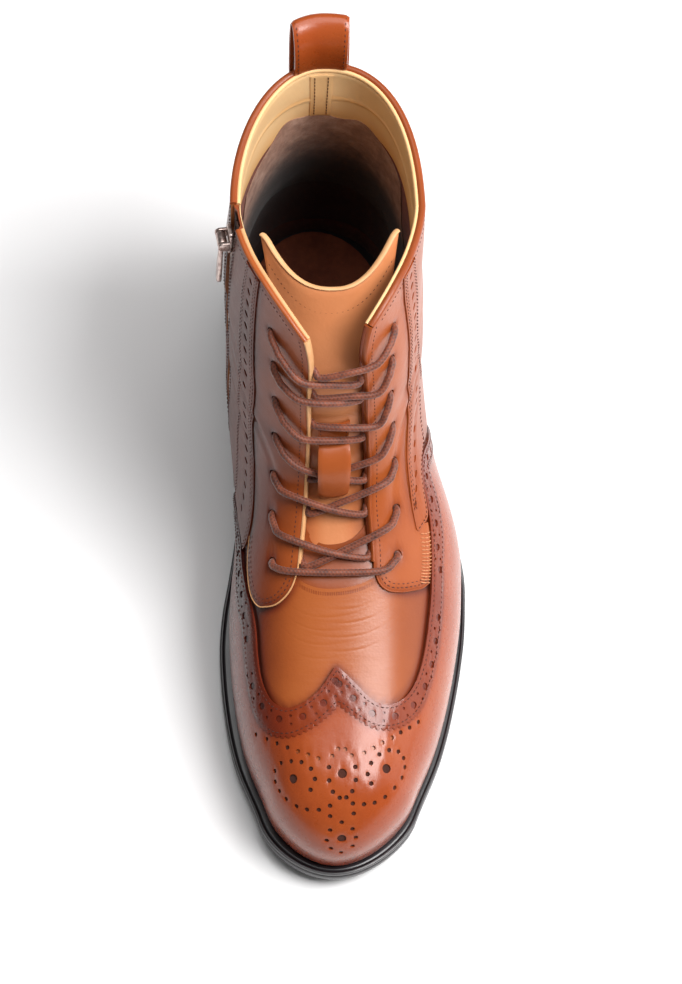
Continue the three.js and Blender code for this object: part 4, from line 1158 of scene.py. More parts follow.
# The medallion punched in the toe, square to a tilted plane: mm across and towards the toe's tip.
MEDALLION_CENTRE = (2.4, 270)
TILT = math.radians(65)
LARGE_HOLES = [(0, 0), (-20.1, 2.0), (18.5, -1.2), (-0.6, 27.3)]
SMALL_HOLES = [
    (-25, -4.3), (-20.9, -5.2), (-16.7, -4.9), (-12.8, -2.3), (-11.3, 2), (-13.1, 6.3), (-27.3, -0.8),
    (-27.3, 3.5), (-25.8, 7.4), (-23.2, 10.5), (-19.1, 13.4), (-14.8, 14.7), (-10, 14.7), (-5.3, 13.1),
    (12, -3.9), (15.5, -7), (19.9, -8.4), (23.6, -7.6), (26, -4.7), (10.5, 0.8), (11.8, 4.5), (21.8, 7),
    (25, 3.2), (26.4, -0.8), (17.7, 10.5), (13.1, 12.5), (8.7, 12.9), (4.1, 12.5),
    (-5.5, 17.4), (4.2, 16.6), (-0.6, 20.3), (-5.5, 23.4), (3.8, 23.3), (-6.9, 28), (5.1, 27), (-5, 31.6),
    (3.8, 30.9), (-0.8, 33.6),
]
SMALL_LINES = [((-34.6, -15.2), (-9.7, -6.3), 7), ((9.3, -8), (32.9, -18.9), 7)]
RING = (5.6, 10.2, 12)


def medallion():
    small = list(SMALL_HOLES)
    for (ax, ay), (bx, by), count in SMALL_LINES:
        for k in range(count):
            t = k / (count - 1)
            small.append((ax + (bx - ax) * t, ay + (by - ay) * t))
    across, along, count = RING
    for k in range(count):
        turn = 2 * math.pi * (k + 0.5) / count
        small.append((across * math.sin(turn), along * math.cos(turn)))
    a, r = np.meshgrid(np.arange(-80, 80, 0.25), np.arange(0.02, 0.36, 0.001))
    points = on_last(a.ravel(), r.ravel(), HIGH, worn=False)
    x0, along0 = MEDALLION_CENTRE
    start = points[np.argmin(np.abs(points[:, 0] - x0) + np.abs(points[:, 1] + along0))]
    down = -((points[:, 1] - start[1]) * math.sin(TILT) + (points[:, 2] - start[2]) * math.cos(TILT))
    flat = np.column_stack([points[:, 0] - x0, down])
    holes = []
    for group, radius, count in ((LARGE_HOLES, 1.9, 14), (small, 0.95, 10)):
        for place in group:
            k = np.argmin(((flat - place) ** 2).sum(axis=1))
            holes.append(hole(a.ravel()[k], r.ravel()[k], radius, points=count))
    return holes


def wing_cap():
    top = wing_top[::-1]
    bottom = level_line(top[-1][0], top[0][0], EDGE_LOW)
    outline = loop(bottom, top)
    middle = beside(wing_top, -4.2)
    # The cap is darker under the band and just below its lower edge: painted shade from the band.
    lay_panel("wing_cap", [outline, *medallion()], "burnished", (1.3, 0.009), LOW, HIGH,
              dark=[(middle, 3.6, 0.6), (band_low, 1.5, 0.5)], replaces=["wing_cap"], hole_drop=0.16,
              base_tone=0.28, edge_finish="burnished")
    # A dark sheet under the toe cap: painted shade seen through the medallion's holes.
    a, r = np.meshgrid(np.arange(-66, 66.1, 1.5), np.arange(0.02, 0.305, 0.0075))
    hole_shade_sheet = on_last(a, r, VAMP_OUT + 0.2)
    thick_sheet("medallion_hole_shade", hole_shade_sheet, 0.1, "dark_lining", 0.8)


def wing_band():
    top = even(beside(wing_top, 0.5), 0.8)
    foot = pinked(band_low, 1.15, 2.4)
    outline = np.vstack([foot, top[::-1]])
    width = np.where(np.abs(wing_top[:, 0] - 5) > 56, 3.3, 4.7)
    middle = even(beside(wing_top, -width))
    edges = [real_places(wing_top), real_places(band_low)]
    holes = perforations(middle, edges)
    lay_panel("wing_band", [outline, *holes], "burnished", (1.4, 0.01), HIGH - 0.15,
              HIGH + OVERLAY, dark=[(wing_top, 1.3, 0.4), (band_low, 1.2, 0.2)], base_tone=0.55,
              round_off=0.22, edge_finish="burnished")
    sew("wing_band_stitches", [
        seam(beside(wing_top, -0.9), HIGH + OVERLAY, 2.1),
        seam(beside(band_low, 1.0), HIGH + OVERLAY, 2.1),
    ], 1.45, 0.21)


STRIPS = {
    "outer": {
        "rear": [(87.5, 0.381), (87.6, 0.44), (86.4, 0.5), (78.5, 0.62), (69.6, 0.758), (67, 0.87),
                 (65.5, 0.992)],
        "front": [(52.2, 0.992), (55.2, 0.84), (63.3, 0.67), (68.2, 0.58), (68.3, 0.54), (66.4, 0.517),
                  (62.5, 0.5), (58, 0.488)],
        "tip": [(58, 0.488), (56.9, 0.481), (58.2, 0.473)],
        "foot": [(58.2, 0.473), (62.4, 0.458), (67, 0.4405), (72, 0.434), (78, 0.4185), (87.5, 0.381)],
        "middle": [(59.5, 0.975), (61.8, 0.85), (67.5, 0.72), (74, 0.61), (77.4, 0.53), (76.5, 0.478),
                   (71, 0.464), (64.5, 0.473), (60.5, 0.481)],
    },
    "inner": {
        "rear": [(-64.5, 0.992), (-65.4, 0.88), (-66.8, 0.787), (-73.7, 0.612), (-82, 0.48), (-88, 0.397),
                 (-90, 0.31), (-90.5, 0.213)],
        "front": [(-67.2, 0.354), (-64.4, 0.385), (-65.2, 0.42), (-67.3, 0.46), (-66.6, 0.51), (-63.3, 0.58),
                  (-58.3, 0.67), (-53.8, 0.84), (-52.3, 0.992)],
        "foot": [(-90.5, 0.213), (-84, 0.258), (-74, 0.321), (-67.2, 0.354)],
        "middle": [(-58.3, 0.975), (-60, 0.85), (-63, 0.73), (-69.2, 0.59), (-74.8, 0.47), (-77.5, 0.39),
                   (-79.5, 0.315)],
    },
}


def strip(side):
    """The strip over one side's seam, with slanted oval holes and two rows of stitches at each edge."""
    parts = STRIPS[side]
    order = ["foot", "rear", "front", "tip"] if side == "outer" else ["foot", "front", "rear"]
    lines = {name: spline(parts[name]) for name in order}
    outline = loop(*lines.values(), spacing=0.8)
    middle = even(spline(parts["middle"]))
    lean = 38 if side == "outer" else -38
    holes = [hole(a, r, 0.8, stretch=2.1, lean=lean, points=12) for a, r in at_spacing(middle, 6.4, 3.5)]
    lay_panel(f"side_strip_{side}", [outline, *holes], "calf", (1.6, 0.009), HIGH - 0.15,
              HIGH + OVERLAY, dark=[(even(outline), 1.4, 0.28), (middle, 1.6, 0.22)], base_tone=0.38,
              round_off=0.2, edge_finish="calf")
    rows = []
    for name in ("rear", "front"):
        line = even(lines[name])
        rows += [seam(beside(line, inset), HIGH + OVERLAY, 2.0) for inset in (1.0, 2.3)]
    if side == "outer":
        rows.append(seam(beside(even(lines["foot"]), 1.0), HIGH + OVERLAY, 2.0))
    sew(f"side_strip_{side}_stitches", rows, 1.35, 0.2)


def eyelets(side):
    return [hole(a, r, EYELET_RADIUS, points=18) for a, r in zip(EYELETS[side], EYELETS[f"{side}_rise"])]


def lacing_panel(side):
    sign = 1 if side == "outer" else -1
    foot = spline(LACING_FOOT[side])
    front = throat_line(side)
    rear_low = 0.478 if side == "outer" else 0.392
    rear = up_line(lambda rise: side_front[side](rise) - sign * 0.3, rear_low, EDGE_HIGH)
    across = level_line(rear[-1][0], front[-1][0], EDGE_HIGH)
    if side == "outer":
        corner = [(61.5, 0.4305), (66, 0.4395), (63.4, 0.453), (59.8, 0.47)]
        outline = loop(foot, np.vstack([foot[-1], corner, rear[0]]), rear, across, front[::-1])
    else:
        outline = loop(foot[::-1], front, across[::-1], rear[::-1])
    marks = [(even(foot), 2.0, 0.35), (even(front), 1.6, 0.2), (even(rear), 3.0, 0.35)]
    marks.append((np.column_stack([EYELETS[side], EYELETS[f"{side}_rise"]]), 3.2, 0.35))
    lay_panel(f"lacing_panel_{side}", [outline, *eyelets(side)], "calf", (1.5, 0.009), LOW, HIGH,
              base_tone=0.3, dark=marks, replaces=[f"lacing_panel_{side}"], hole_drop=0.3,
              edge_finish="calf" if side == "outer" else "edge")
    foot_line = even(foot) if side == "outer" else even(foot[::-1])
    front_line = even(front)
    rows = [seam(beside(foot_line, inset), HIGH, 2.1) for inset in (1.6, 3.2)]
    inset = -2.4 if side == "outer" else 2.6
    rows.append(seam(beside(front_line, inset), HIGH, 2.1))
    sew(f"lacing_panel_{side}_stitches", rows)


def bar_tack():
    """The close zigzag that holds the outer lacing panel's rear corner down, between its four corners."""
    front = [(58.6, 0.469), (52.7, 0.443)]
    rear = [(64.6, 0.4385), (58, 0.4175)]
    rows = []
    count = 15
    for k in range(count):
        t = k / (count - 1)
        start = np.array(front[0]) * (1 - t) + np.array(front[1]) * t
        end = np.array(rear[0]) * (1 - t) + np.array(rear[1]) * t
        rows.append(seam(even(np.vstack([start, end]), 1.0), HIGH + 0.3, 2.0))
    sew("bar_tack", rows, 2.1, 0.27, "pale_thread")


def side_panel():
    front = up_line(side_front["inner"], EDGE_LOW, EDGE_HIGH)
    zip_edge = up_line(lambda rise: zip_line(rise, zip_side(rise)), EDGE_LOW, EDGE_HIGH, 240)
    bottom = level_line(zip_edge[0][0], front[0][0], EDGE_LOW)
    top = level_line(front[-1][0], zip_edge[-1][0], EDGE_HIGH)
    outline = loop(bottom, front, top, zip_edge[::-1])
    lay_panel("side_panel_inner", [outline], "calf", (2.0, 0.012), LOW, HIGH, base_tone=0.36,
              dark=[(even(zip_edge), 3.0, 0.3), (even(front), 6.0, 0.12)], replaces=["side_panel_inner"])
    sew("zip_front_stitches", zip_rows(1))


def zip_rows(sign):
    rows = []
    for inset in (1.8, 3.4):
        rise = np.linspace(ZIP_FOOT[0] - 0.015, 0.985, 200)
        line = np.column_stack([zip_line(rise, sign * (zip_side(rise) + inset)), rise])
        rows.append(seam(even(line), HIGH, 2.1))
    return rows


def back_panel():
    front = up_line(side_front["outer"], EDGE_LOW, EDGE_HIGH, 200)
    zip_edge = up_line(lambda rise: 360 + zip_line(rise, -zip_side(rise)), EDGE_LOW, EDGE_HIGH, 240)
    bottom = level_line(front[0][0], zip_edge[0][0], EDGE_LOW)
    top = level_line(zip_edge[-1][0], front[-1][0], EDGE_HIGH)
    outline = loop(bottom, zip_edge, top, front[::-1])
    lay_panel("back_panel", [outline], "calf", (2.4, 0.012), LOW, HIGH, base_tone=0.36,
              dark=[(even(zip_edge), 3.0, 0.3), (even(front), 6.0, 0.12)], replaces=["back_panel"])
    sew("zip_rear_stitches", zip_rows(-1))


# Edges: folded or raw strips along the throat and the collar.
def edging(name, line, shift, centre_out, width, height, finish, tone):
    """A rounded strip along a chart line. shift moves it to the line's left in millimetres."""
    path_line = even(line, 1.2)
    travel, left, out = line_frame(path_line)
    path = on_last(path_line[:, 0], path_line[:, 1], centre_out) + left * shift
    sweep(name, path, left, out, oval(width, height, 14), finish, tone)


def throat_edges():
    inner = throat_line("inner", 0.53)
    edging("raw_edge_inner", inner, -0.35, -0.05, 1.5, 3.5, "edge", tone=0.25)
    foot = even(np.vstack([spline(LACING_FOOT["inner"])[::-1], throat_line("inner", 0.524)]))
    edging("raw_edge_inner_foot", foot, -0.05, HIGH - 0.55, 0.7, 1.15, "edge", tone=0.3)
    outer = throat_line("outer", 0.53)
    edging("folded_edge_outer", outer, 0.45, -0.05, 1.9, 3.6, "calf", tone=0.35)
    edging("folded_edge_outer_lining", outer, 1.3, -1.1, 1.0, 1.7, "calf", tone=0.6)
    foot = even(np.vstack([spline(LACING_FOOT["outer"])[::-1], throat_line("outer", 0.524)]))
    edging("folded_edge_outer_foot", foot, 0.05, HIGH - 0.5, 0.9, 1.1, "calf", tone=0.45)


def collar_edges():
    """The collar's binding in two lengths, with the zip's notch between them."""
    back = level_line(throat["outer"](EDGE_HIGH), 360 + zip_line(EDGE_HIGH, -zip_side(EDGE_HIGH)), EDGE_HIGH)
    front = level_line(zip_line(EDGE_HIGH, zip_side(EDGE_HIGH)), throat["inner"](EDGE_HIGH), EDGE_HIGH)
    edging("collar_roll_back", back, 0.1, 0.35, 2.6, 3.0, "calf", tone=0.45)
    edging("collar_lining_back", back, -0.2, -1.65, 2.2, 1.7, "lining", tone=0.12)
    edging("collar_roll_front", front, 0.0, 0.5, 1.8, 2.3, "calf", tone=0.3)
    edging("collar_lining_front", front, -0.1, -1.2, 1.8, 1.9, "edge", tone=0.2)
    for name, line in (("back", back), ("front", front)):
        row = seam(beside(even(line)[4:-4], -3.2), HIGH, 2.1)
        sew(f"collar_stitches_{name}", [row])


# Lining inside the shaft.
def lining_sheet(name, around, rise, out, half, finish, tone):
    rows, columns = rise.shape
    i = np.minimum(np.arange(rows), np.arange(rows)[::-1])[:, None]
    j = np.minimum(np.arange(columns), np.arange(columns)[::-1])[None, :]
    rim = np.clip((np.minimum(i, j) + 0.6) / 2, 0, 1)
    thick_sheet(name, on_last(around, rise, out), half * rim, finish, tone)


def top_lining():
    share, rise = np.meshgrid(np.linspace(0, 1, 170), np.linspace(0.765, 0.99, 46))
    crease = 0.35 * np.exp(-(((rise - 0.885 - 0.01 * np.sin(share * 9)) / 0.006) ** 2))
    # Painted shade: darker deeper into the boot and along the crease.
    tone = 0.02 + 0.4 * smooth((0.87 - rise) / 0.14)
    tone += 0.25 * np.exp(-(((rise - 0.883) / 0.008) ** 2))
    lining_sheet("lining_top", 60 + 240 * share, rise, -2.25 - crease, 0.35, "lining", tone)


def side_linings():
    share, rise = np.meshgrid(np.linspace(0, 1, 150), np.linspace(0.06, 0.775, 60))
    start = 75 + 20 * smooth((0.5 - rise) / 0.3)
    around = start + (360 - 2 * start) * share
    # Painted shade: darker deeper into the boot.
    tone = 0.15 + 0.75 * smooth((0.72 - rise) / 0.3)
    lining_sheet("lining_sides", around, rise, -2.12, 0.3, "dark_lining", tone)


def heel_grip():
    """The suede patch round the heel, its upper edge a little uneven."""
    patch, climb = np.meshgrid(np.linspace(0, 1, 90), np.linspace(0, 1, 40))
    uneven = 0.012 * np.sin(patch * 11) + 0.008 * np.sin(patch * 27 + 1)
    low, high = 0.3, 0.8 + uneven - 0.07 * (2 * patch - 1) ** 2
    around = 180 + (2 * patch - 1) * 62
    # Painted shade: darker lower down inside the boot.
    tone = 0.95 * smooth((0.86 - climb) / 0.5)
    lining_sheet("heel_grip", around, low + (high - low) * climb, -2.75, 0.32, "heel_grip", tone)


def back_seam_strip():
    around, rise = np.meshgrid(np.linspace(172, 188, 12), np.linspace(0.79, 0.985, 40))
    # Painted shade: darker deeper into the boot.
    tone = 0.15 + 0.4 * smooth((0.87 - rise) / 0.12)
    lining_sheet("back_seam_strip", around, rise, -2.8, 0.3, "lining", tone)


def lining_stitches():
    rows = []
    for turn in (180 - 4.8, 180 + 4.8):
        line = even(up_line(lambda height: turn + 0 * height, 0.8, 0.98))
        rows.append(seam(line, -3.12, 2.2))
    for side in (60.9, 299.1):
        line = even(up_line(lambda height: side + 0 * height, 0.78, 0.98))
        rows.append(seam(line, -2.6, 2.2))
    sew("lining_stitches", rows, 1.7, 0.24)


# Tongue
tongue_edge = {side: column(TONGUE, "rise", side) for side in ("inner", "outer")}
tongue_fall = column(TONGUE, "rise", "fall")
TONGUE_LOW = 0.457
TONGUE_TOP = 1.03
TONGUE_OUT = -WALL - TONGUE_GAP - TONGUE_WALL / 2
FALL_MIDDLE = 1.42  # how much of the tongue's fall its middle takes, and how much less its sides
FALL_SIDES = 0.85
ARCH_POWER = 2.4


def tongue_point(across, climb, out):
    """across runs from -1 to 1 and climb from 0 to 1. Near the top the tongue bends in as one wide arch."""
    corner = 0.02 * np.clip((np.abs(across) - 0.86) / 0.14, 0, 1) ** 2
    rise = TONGUE_LOW + (TONGUE_TOP - corner - TONGUE_LOW) * climb
    wide = 1 + 0.15 * smooth((rise - 0.85) / 0.18)
    inner, outer = tongue_edge["inner"](rise) * wide, tongue_edge["outer"](rise) * wide

    def place(share):
        points = on_last(inner + (outer - inner) * (share + 1) / 2, rise, out, worn=False)
        points[..., 1] += tongue_fall(rise) * (FALL_MIDDLE - FALL_SIDES * share**2)
        return points

    points = place(across)
    left, right, front = place(-1 + 0 * across), place(1 + 0 * across), place(0 * across)
    middle = (left + right) / 2
    arch = middle + (right - left) / 2 * across[..., None]
    arch += (front - middle) * (1 - np.abs(across) ** ARCH_POWER)[..., None]
    points += (arch - points) * smooth((rise - 0.8) / 0.14)[..., None]
    soft = np.sin(across * 5 + climb * 9) * np.sin(climb * 13) * smooth((climb - 0.5) / 0.3)
    points[..., 1] += 0.35 * soft
    points[..., 2] += 0.25 * soft
    return points


def tongue():
    across, climb = np.meshgrid(np.linspace(-1, 1, 60), np.linspace(0, 1, 110))
    middle = tongue_point(across, climb, TONGUE_OUT)
    edge = np.minimum(1 - np.abs(across), (1 - climb) * 2)
    half = TONGUE_WALL / 2 * (0.35 + 0.65 * np.sqrt(np.clip(edge / 0.05, 0, 1)))
    # Painted shade: darker low down towards the sides, under the facings and laces.
    tone = 0.2 + 0.5 * smooth((0.75 - climb) / 0.5) * smooth((np.abs(across) - 0.1) / 0.5)
    thick_sheet("tongue", middle, half, "nappa", tone, ["tongue"], back_finish="lining")
    line = np.linspace(-0.985, 0.985, 120)
    top = tongue_point(line, np.full(120, 0.999), TONGUE_OUT)
    travel = unit(np.gradient(top, axis=0))
    below = tongue_point(line, np.full(120, 0.98), TONGUE_OUT)
    up = unit(top - below)
    out = unit(np.cross(travel, up))
    up = unit(np.cross(out, travel))
    sweep("tongue_edge", top, up, out, oval(1.5, 2.6, 12), "edge", 0.15)
    sew("tongue_stitches", [tongue_seam(np.linspace(-0.9, 0.9, 240), 0.93)], 1.6, 0.24)


def tongue_seam(across, climb):
    points = tongue_point(across, np.full(len(across), climb), TONGUE_OUT + TONGUE_WALL / 2)
    points = spaced(points, 2.2)
    above = tongue_point(across, np.full(len(across), climb + 0.02), TONGUE_OUT + TONGUE_WALL / 2)
    up = unit(above[len(above) // 2] - points[len(points) // 2])
    middle = (points[1:] + points[:-1]) / 2
    travel = unit(points[1:] - points[:-1])
    return middle, travel, unit(np.cross(travel, up))


KEEPER = {"around": 3, "half_turn": 12, "foot": 0.6, "head": 0.7, "clear": 8.4, "wall": 1.3}


def keeper():
    """The loop on the tongue that the laces run under, and its stitched tab above."""
    base = -WALL - TONGUE_GAP
    side, step = np.meshgrid(np.linspace(-1, 1, 14), np.linspace(0, 1, 34))
    rise = KEEPER["foot"] + (KEEPER["head"] - KEEPER["foot"]) * step
    out = base + 0.9 + KEEPER["clear"] * np.sin(np.pi * step) ** 0.45 + KEEPER["wall"] / 2
    around = KEEPER["around"] + side * KEEPER["half_turn"]
    half = KEEPER["wall"] / 2 * (0.5 + 0.5 * np.sqrt(np.clip((1 - np.abs(side)) / 0.2, 0, 1)))
    thick_sheet("keeper_loop", on_last(around, rise, out, worn=False), half, "calf",
                replaces=["tongue_loop"], tone=0.3)
    side, rise = np.meshgrid(np.linspace(-1, 1, 14), np.linspace(0.693, 0.745, 14))
    around = KEEPER["around"] + side * (KEEPER["half_turn"] + 0.4)
    thick_sheet("keeper_tab", on_last(around, rise, base + 0.62, worn=False), 0.6, "calf", 0.3)
    rows = []
    for place in (0.705, 0.737):
        line = even(level_line(KEEPER["around"] - 10.2, KEEPER["around"] + 10.2, place))
        rows.append(seam(line, base + 1.22, 2.0))
    for turn in (-10.4, 10.4):
        line = even(up_line(lambda height: KEEPER["around"] + turn + 0 * height, 0.703, 0.739))
        rows.append(seam(line, base + 1.22, 2.0))
    sew("keeper_stitches", rows, 1.4)


# Pull loop
STRAP = {"centre": 181, "degree": 0.74, "swell": 7.5, "lean": 6, "rise": 22, "rounds": 6}


def pull_loop_path(across):
    """The strap's path from inside the collar, up and down its outside, at a place across its width."""
    around = STRAP["centre"] + across * LOOP_WIDTH / 2 / STRAP["degree"]
    off = 0.45 + STRAP_WALL / 2
    legs = np.linspace(0.87, 1.005, 12)
    inner = on_last(around, np.linspace(0.975, 1.006, 5), np.linspace(-0.2, -0.9, 5), worn=False)
    outer = on_last(around, legs, OVER_PANELS + off, worn=False)
    a, b = inner[-1], outer[-1]
    t = np.linspace(0, np.pi, 32)[1:-1]
    bend = a + (b - a) * ((1 - np.cos(t)) / 2)[:, None]
    bend[:, 1] += STRAP["swell"] * np.sin(t) ** 1.3 - STRAP["lean"] * np.cos(t) * np.sin(t)
    bend[:, 2] += STRAP["rise"] * np.sin(t) ** 0.8
    path = np.vstack([inner, bend, outer[::-1]])
    smoothed = path.copy()
    for _ in range(STRAP["rounds"]):
        smoothed[1:-1] = (smoothed[:-2] + 2 * smoothed[1:-1] + smoothed[2:]) / 4
    return smoothed


def pull_loop():
    places = np.linspace(-1, 1, 19)
    middle = np.stack([pull_loop_path(s) for s in places], axis=1)
    edge = np.sqrt(np.clip((1 - np.abs(places)) / 0.08, 0, 1))
    half = STRAP_WALL / 2 * (0.45 + 0.55 * edge)
    thick_sheet("pull_loop", middle, half[None, :], "burnished", 0.25, ["pull_loop"])
    normals = unit(np.cross(np.gradient(middle, axis=1), np.gradient(middle, axis=0)))
    rows = []
    for j in (1, len(places) - 2):
        for sign in (-1, 1):
            line = middle[:, j] + sign * normals[:, j] * STRAP_WALL / 2
            fine = spaced(np.hstack([line, normals[:, j]]), 2.4, lambda path: path[:, :3])
            travel = unit(fine[1:, :3] - fine[:-1, :3])
            rows.append(((fine[1:, :3] + fine[:-1, :3]) / 2, travel, unit(sign * fine[1:, 3:])))
    last = len(middle) - 3
    for i in (last, last - 9):
        line = middle[i, 1:-1] + normals[i, 1:-1] * STRAP_WALL / 2
        fine = spaced(np.hstack([line, normals[i, 1:-1]]), 2.2, lambda path: path[:, :3])
        travel = unit(fine[1:, :3] - fine[:-1, :3])
        rows.append(((fine[1:, :3] + fine[:-1, :3]) / 2, travel, unit(fine[1:, 3:])))
    sew("pull_loop_stitches", rows, 1.7, 0.24)


# Laces: braided cord from inside each hole to under the other edge.
CORD_STEP = 0.38
CORD_SIDES = 24
CORD_PLIES = 4
CORD_TWIST = 6.2  # mm for one turn of a ply


def cord(name, points, replaces):
    path = spaced(spline(points, steps=24), CORD_STEP)
    travel = unit(np.gradient(path, axis=0))
    side = np.zeros_like(path)
    start = np.cross(travel[0], (0.3, 0.2, 1.0))
    side[0] = start / np.linalg.norm(start)
    for k in range(1, len(path)):
        moved = side[k - 1] - travel[k] * np.dot(side[k - 1], travel[k])
        side[k] = moved / np.linalg.norm(moved)
    other = np.cross(travel, side)
    turn = np.linspace(0, 2 * np.pi, CORD_SIDES, endpoint=False)[None, :]
    twist = (2 * np.pi * CORD_STEP * np.arange(len(path)) / CORD_TWIST)[:, None]
    ply = np.maximum(np.cos(CORD_PLIES * (turn - twist)), np.cos(CORD_PLIES * (turn + twist)))
    radius = LACE_RADIUS * (0.93 + 0.07 * ply)
    points = path[:, None] + side[:, None] * (radius * np.cos(turn))[..., None]
    points = (points + other[:, None] * (radius * np.sin(turn))[..., None]).reshape(-1, 3)
    faces = tube_faces(len(path), CORD_SIDES)
    # Painted shade: darker in the grooves between the plies.
    tone = np.clip(0.55 - 0.22 * ply, 0, 1).ravel()
    make_piece(name, points, faces, "lace", replaces=replaces, tone=tone, sharp=80)


SHINWARD = np.array([0, -0.85, 0.53])
LACE_OUT = OVER_PANELS + GAP + LACE_RADIUS
ON_EDGE = 3
STRAND_BUMP = 1.4
CROSS_OVER = 0.9
PANEL_CLEAR = 1.3


def spot(around, rise, out):
    return on_last(around, rise, out, worn=False)


def out_of_hole(around, rise, toward_around, toward_rise):
    """The lace's bend from inside its hole to lying on the panel."""
    step_around, step_rise = (toward_around - around), (toward_rise - rise)
    return [
        spot(around, rise, -1.6),
        spot(around, rise, 0.7),
        spot(around + 0.1 * step_around, rise + 0.1 * step_rise, 2.35),
        spot(around + 0.3 * step_around, rise + 0.3 * step_rise, LACE_OUT - 0.1),
    ]


def lace_bar():
    bar_rise = 0.516
    a, b = EYELETS["inner"][0], EYELETS["outer"][0]
    ra, rb = EYELETS["inner_rise"][0], EYELETS["outer_rise"][0]
    left = (throat["inner"](bar_rise) - ON_EDGE, bar_rise)
    right = (throat["outer"](bar_rise) + ON_EDGE, bar_rise)
    p, q = spot(*left, LACE_OUT + 0.3), spot(*right, LACE_OUT + 0.3)
    middle = (p + q) / 2 + SHINWARD * 1.2
    points = [*out_of_hole(a, ra, *left), p, middle, q, *out_of_hole(b, rb, *right)[::-1]]
    cord("lace_bar_1", points, replaces=["lace_bar_1"])


def strand(place, side):
    far = "inner" if side == "outer" else "outer"
    turn = -1 if side == "inner" else 1
    row = int(place["row"])
    near_edge = EYELETS[f"{side}_edge"]
    far_edge = EYELETS[f"{far}_edge"]
    near_rise = near_edge[row] + (near_edge[row - 1] - near_edge[row]) * place[f"{side}_near"]
    far_rise = far_edge[row] + (far_edge[row - 1] - far_edge[row]) * place[f"{side}_far"]
    around, rise = EYELETS[side][row], EYELETS[f"{side}_rise"][row]
    edge = throat[side](near_rise) + turn * ON_EDGE
    over = LACE_OUT + PANEL_CLEAR * 0.6
    near = spot(edge, near_rise, over)
    end = spot(throat[far](far_rise) + turn * 6.5, far_rise, 0.1)
    under = spot(throat[far](far_rise) + turn * 1.5, far_rise, -1.15)
    beyond = spot(throat[far](far_rise) - turn * 2.5, far_rise, -1.4)
    lift = turn * CROSS_OVER if place["joined"] else 0
    middle = (near + end) / 2 + SHINWARD * (STRAND_BUMP - lift)
    half_way = spot((around + edge) / 2, (rise + near_rise) / 2, over - 0.1)
    return [*out_of_hole(around, rise, edge, near_rise), half_way, near, middle, end, under, beyond]


def laces():
    lace_bar()
    for k in range(len(STRANDS["row"])):
        place = {key: values[k] for key, values in STRANDS.items()}
        number = int(place["row"]) + 1
        for side in ("inner", "outer"):
            node = f"lace_cross_{number}" if place["joined"] else f"lace_cross_{number}_{side}"
            cord(f"lace_{number}_{side}", strand(place, side), replaces=[node])


# Sole
def sole_outline(inset, start, end, square, stations):
    turn = np.pi * np.arange(stations + 1) / stations
    t = 1 - np.cos(turn / 2) if square else (1 - np.cos(turn)) / 2
    along = start + (end - start) * t
    ends = round_end((SOLE_LENGTH - inset - along) / TOE_ROUND) * round_end((along - inset) / HEEL_ROUND)
    inner = (inner_edge(along / SOLE_LENGTH) * BALL_WIDTH - inset) * ends
    outer = (outer_edge(along / SOLE_LENGTH) * BALL_WIDTH - inset) * ends
    inner[0] = outer[0] = 0
    if not square:
        inner[-1] = outer[-1] = 0
    return along, inner, outer


def sole_piece(name, levels, finish, start=0.0, end=SOLE_LENGTH, square=False, stations=150):
    """A layer of the sole through outlines at several levels. Each level is an inset in mm and a height."""
    rings = []
    for inset, height in levels:
        stop = end if square else end - inset
        along, inner, outer = sole_outline(inset, start + inset, stop, square, stations)
        z = np.broadcast_to(height(along), along.shape)
        right = np.column_stack([outer, -along, z])
        left = np.column_stack([-inner, -along, z])
        back = left[::-1] if square else left[-2:0:-1]
        ring = np.vstack([right, back])
        rings.append(ring[:-1] if square else ring)
    rings = np.array(rings)
    count = rings.shape[1]
    faces = tube_faces(len(rings), count, capped=False)
    for level in (0, len(rings) - 1):
        first = level * count
        top = len(right) - 1
        for k in range(top):
            a, b = first + k, first + k + 1
            c, d = first + (count - k) % count, first + (count - k - 1) % count
            face = [a, b] + ([d] if d != b else []) + ([c] if c not in (a, d) else [])
            if len(set(face)) > 2:
                faces.append(tuple(face))
    make_piece(name, rings.reshape(-1, 3), faces, finish, replaces=[name], sharp=35, tone=0.5)


def sole():
    def lift(amount):
        return lambda along: underside(along) + amount

    def level(z):
        return lambda along: np.full(len(along), float(z))

    sole_piece("outsole", [
        (0.9, lift(0)), (0.25, lift(0.25)), (0, lift(0.9)), (0, lift(OUTSOLE - 0.9)),
        (0.35, lift(OUTSOLE - 0.25)), (0.7, lift(OUTSOLE)),
    ], "edge_ink")
    welt = OUTSOLE + GAP
    top = OUTSOLE + MIDSOLE
    sole_piece("midsole", [
        (0.8, lift(welt - 0.2)), (0.2, lift(welt + 0.2)), (0, lift(welt + 0.8)), (0, lift(top - 0.7)),
        (0.2, lift(top - 0.2)), (0.7, lift(top)), (1.3, lift(top - 0.05)), (1.7, lift(top - 0.35)),
        (2.1, lift(top - 0.05)), (2.6, lift(top)),
    ], "edge_ink")
    breast = HEEL_BREAST * SOLE_LENGTH
    sole_piece("heel", [
        (1.6, level(TOP_LIFT + 0.1)), (1.5, level(TOP_LIFT + 0.3)), (1.2, level(15)), (1.0, lift(-GAP)),
    ], "heel_stack", end=breast, square=True, stations=60)
    sole_piece("heel_top_lift", [
        (2.4, level(0)), (1.8, level(0.25)), (1.6, level(0.8)), (1.6, level(TOP_LIFT - 0.3)),
        (1.8, level(TOP_LIFT)),
    ], "rubber", end=breast, square=True, stations=60)
    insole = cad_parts["insole"]
    insole.data.materials.clear()
    insole.data.materials.append(MATERIALS["insole"])


